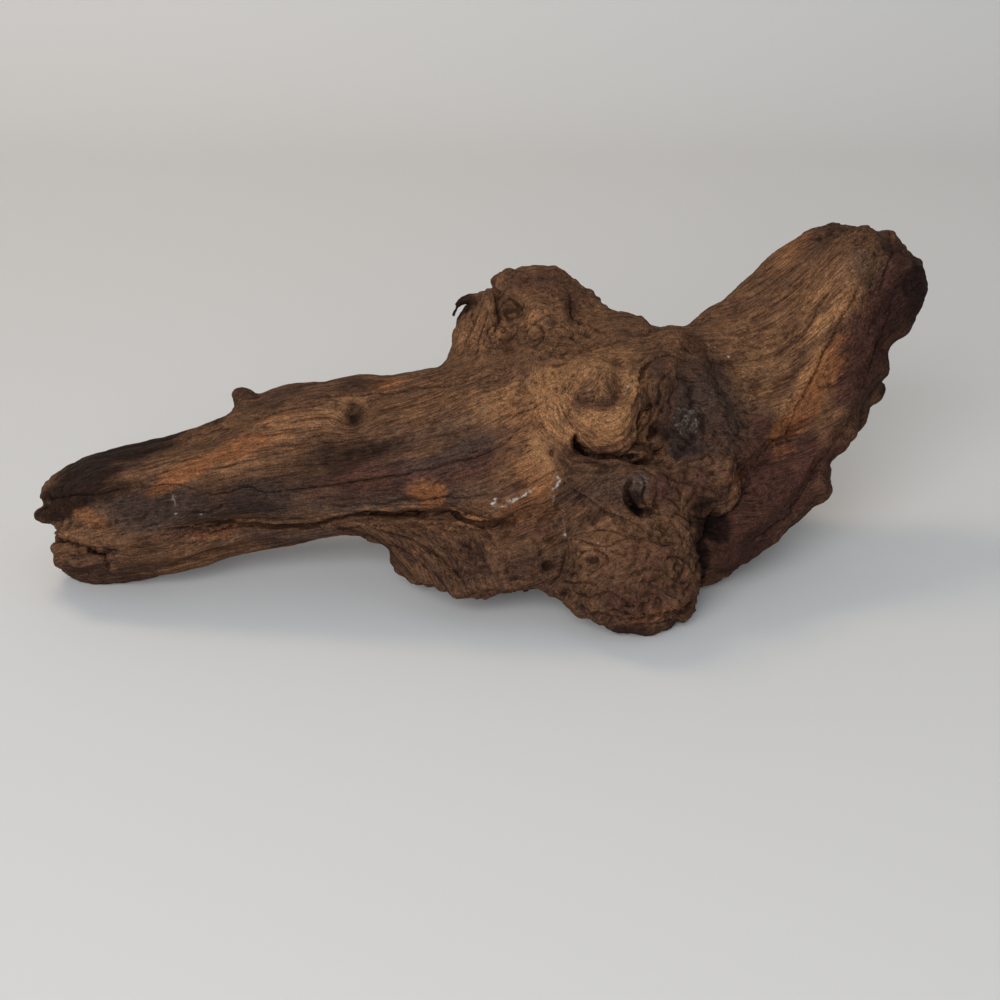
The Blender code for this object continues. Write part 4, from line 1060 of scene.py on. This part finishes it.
def wood_material():
    material = bpy.data.materials.new("old_wood")
    g = Graph(material)
    layers = wood_layers(g)
    colour = chalked(g, layers, marked_and_shaded(g, layers, stained(g, layers, bare_wood(g, layers))))
    rough = g.fit(layers["charred"], *CHARRED_GROWS, *ROUGHNESS)
    rough = g.math("ADD", rough, g.fit(layers["hairs"], *HAIR_GROWS, *HAIR_ROUGHNESS))
    relief = g.total(layers, SHADED)
    bump = g.node("ShaderNodeBump", Strength=SHADED_STRENGTH, Distance=SHADED_HEIGHT * MM, Height=relief)
    g.put(g.shader.inputs["Base Color"], colour)
    g.put(g.shader.inputs["Roughness"], rough)
    g.shader.inputs["Specular IOR Level"].default_value = SHINE
    g.put(g.shader.inputs["Normal"], bump.outputs["Normal"])
    return material


mark_skin(wood.data)
wood.data.materials.clear()
wood.data.materials.append(wood_material())

# The surroundings, in metres. The floor: its reach, where it starts to turn up, the bend's radius, its top
FLOOR_REACH, FLOOR_END, BEND_RADIUS, FLOOR_TOP = 3.0, 0.55, 0.35, 2.5
BEND_START, BEND_POINTS = 0.1, 14
PAPER, PAPER_ROUGHNESS = (0.54, 0.523, 0.508, 1), 0.75
# The sky: its colour, and its strength at the horizon and overhead
SKY, SKY_LOW, SKY_HIGH = (0.80, 0.915, 1.0, 1), 0.47, 0.58
# Lamps: place, aim, size, power in watts, colour
LAMPS = {
    "key": ((-0.5, 0.6, 1.3), (0, 0, 0.03), 0.4, 5.6, (1.0, 0.82, 0.62)),
    "window": ((-0.38, -1.27, 0.72), (0, 0, 0.02), 1.0, 23.5, (0.95, 0.97, 1.0)),
}


def add_camera():
    lens = bpy.data.cameras.new("camera")
    lens.sensor_width = SENSOR
    lens.lens = SENSOR / 2 * VIEW_DISTANCE / HALF_VIEW
    camera = bpy.data.objects.new("camera", lens)
    bpy.context.scene.collection.objects.link(camera)
    camera.location = Vector((AIM - SIGHT * VIEW_DISTANCE) * MM)
    camera.rotation_euler = Vector(SIGHT).to_track_quat("-Z", "Y").to_euler()
    bpy.context.scene.camera = camera


def add_light(name, place, aim, size, power, colour):
    lamp = bpy.data.lights.new(name, "AREA")
    lamp.size = size
    lamp.energy = power
    lamp.color = colour
    light = bpy.data.objects.new(name, lamp)
    light.location = place
    light.rotation_euler = (Vector(aim) - Vector(place)).to_track_quat("-Z", "Y").to_euler()
    bpy.context.scene.collection.objects.link(light)


def add_floor():
    """A level floor that turns up into a back wall."""
    outline = [(-FLOOR_REACH, 0.0), (FLOOR_END, 0.0)]
    for turn in np.linspace(BEND_START, math.pi / 2, BEND_POINTS):
        outline.append((FLOOR_END + BEND_RADIUS * math.sin(turn), BEND_RADIUS - BEND_RADIUS * math.cos(turn)))
    outline.append((FLOOR_END + BEND_RADIUS, FLOOR_TOP))
    bm = bmesh.new()
    left, right = ([bm.verts.new((x, y, z)) for y, z in outline] for x in (-FLOOR_REACH, FLOOR_REACH))
    for i in range(len(outline) - 1):
        bm.faces.new((left[i], right[i], right[i + 1], left[i + 1]))
    mesh = bpy.data.meshes.new("floor")
    bm.to_mesh(mesh)
    bm.free()
    mesh.shade_smooth()
    floor = bpy.data.objects.new("floor", mesh)
    bpy.context.scene.collection.objects.link(floor)
    paper = bpy.data.materials.new("pale_paper")
    paper.use_nodes = True
    shader = paper.node_tree.nodes["Principled BSDF"]
    shader.inputs["Base Color"].default_value = PAPER
    shader.inputs["Roughness"].default_value = PAPER_ROUGHNESS
    mesh.materials.append(paper)


def add_world():
    """A soft sky, brightest overhead."""
    world = bpy.data.worlds.new("studio")
    world.use_nodes = True
    tree = world.node_tree
    background = tree.nodes["Background"]
    background.inputs["Color"].default_value = SKY
    place = tree.nodes.new("ShaderNodeTexCoord")
    axes = tree.nodes.new("ShaderNodeSeparateXYZ")
    rise = tree.nodes.new("ShaderNodeMapRange")
    tree.links.new(place.outputs["Generated"], axes.inputs["Vector"])
    tree.links.new(axes.outputs["Z"], rise.inputs["Value"])
    rise.inputs["To Min"].default_value = SKY_LOW
    rise.inputs["To Max"].default_value = SKY_HIGH
    tree.links.new(rise.outputs["Result"], background.inputs["Strength"])
    bpy.context.scene.world = world


add_camera()
add_floor()
add_world()
for name, lamp in LAMPS.items():
    add_light(name, *lamp)
bpy.context.scene.view_settings.view_transform = "Standard"
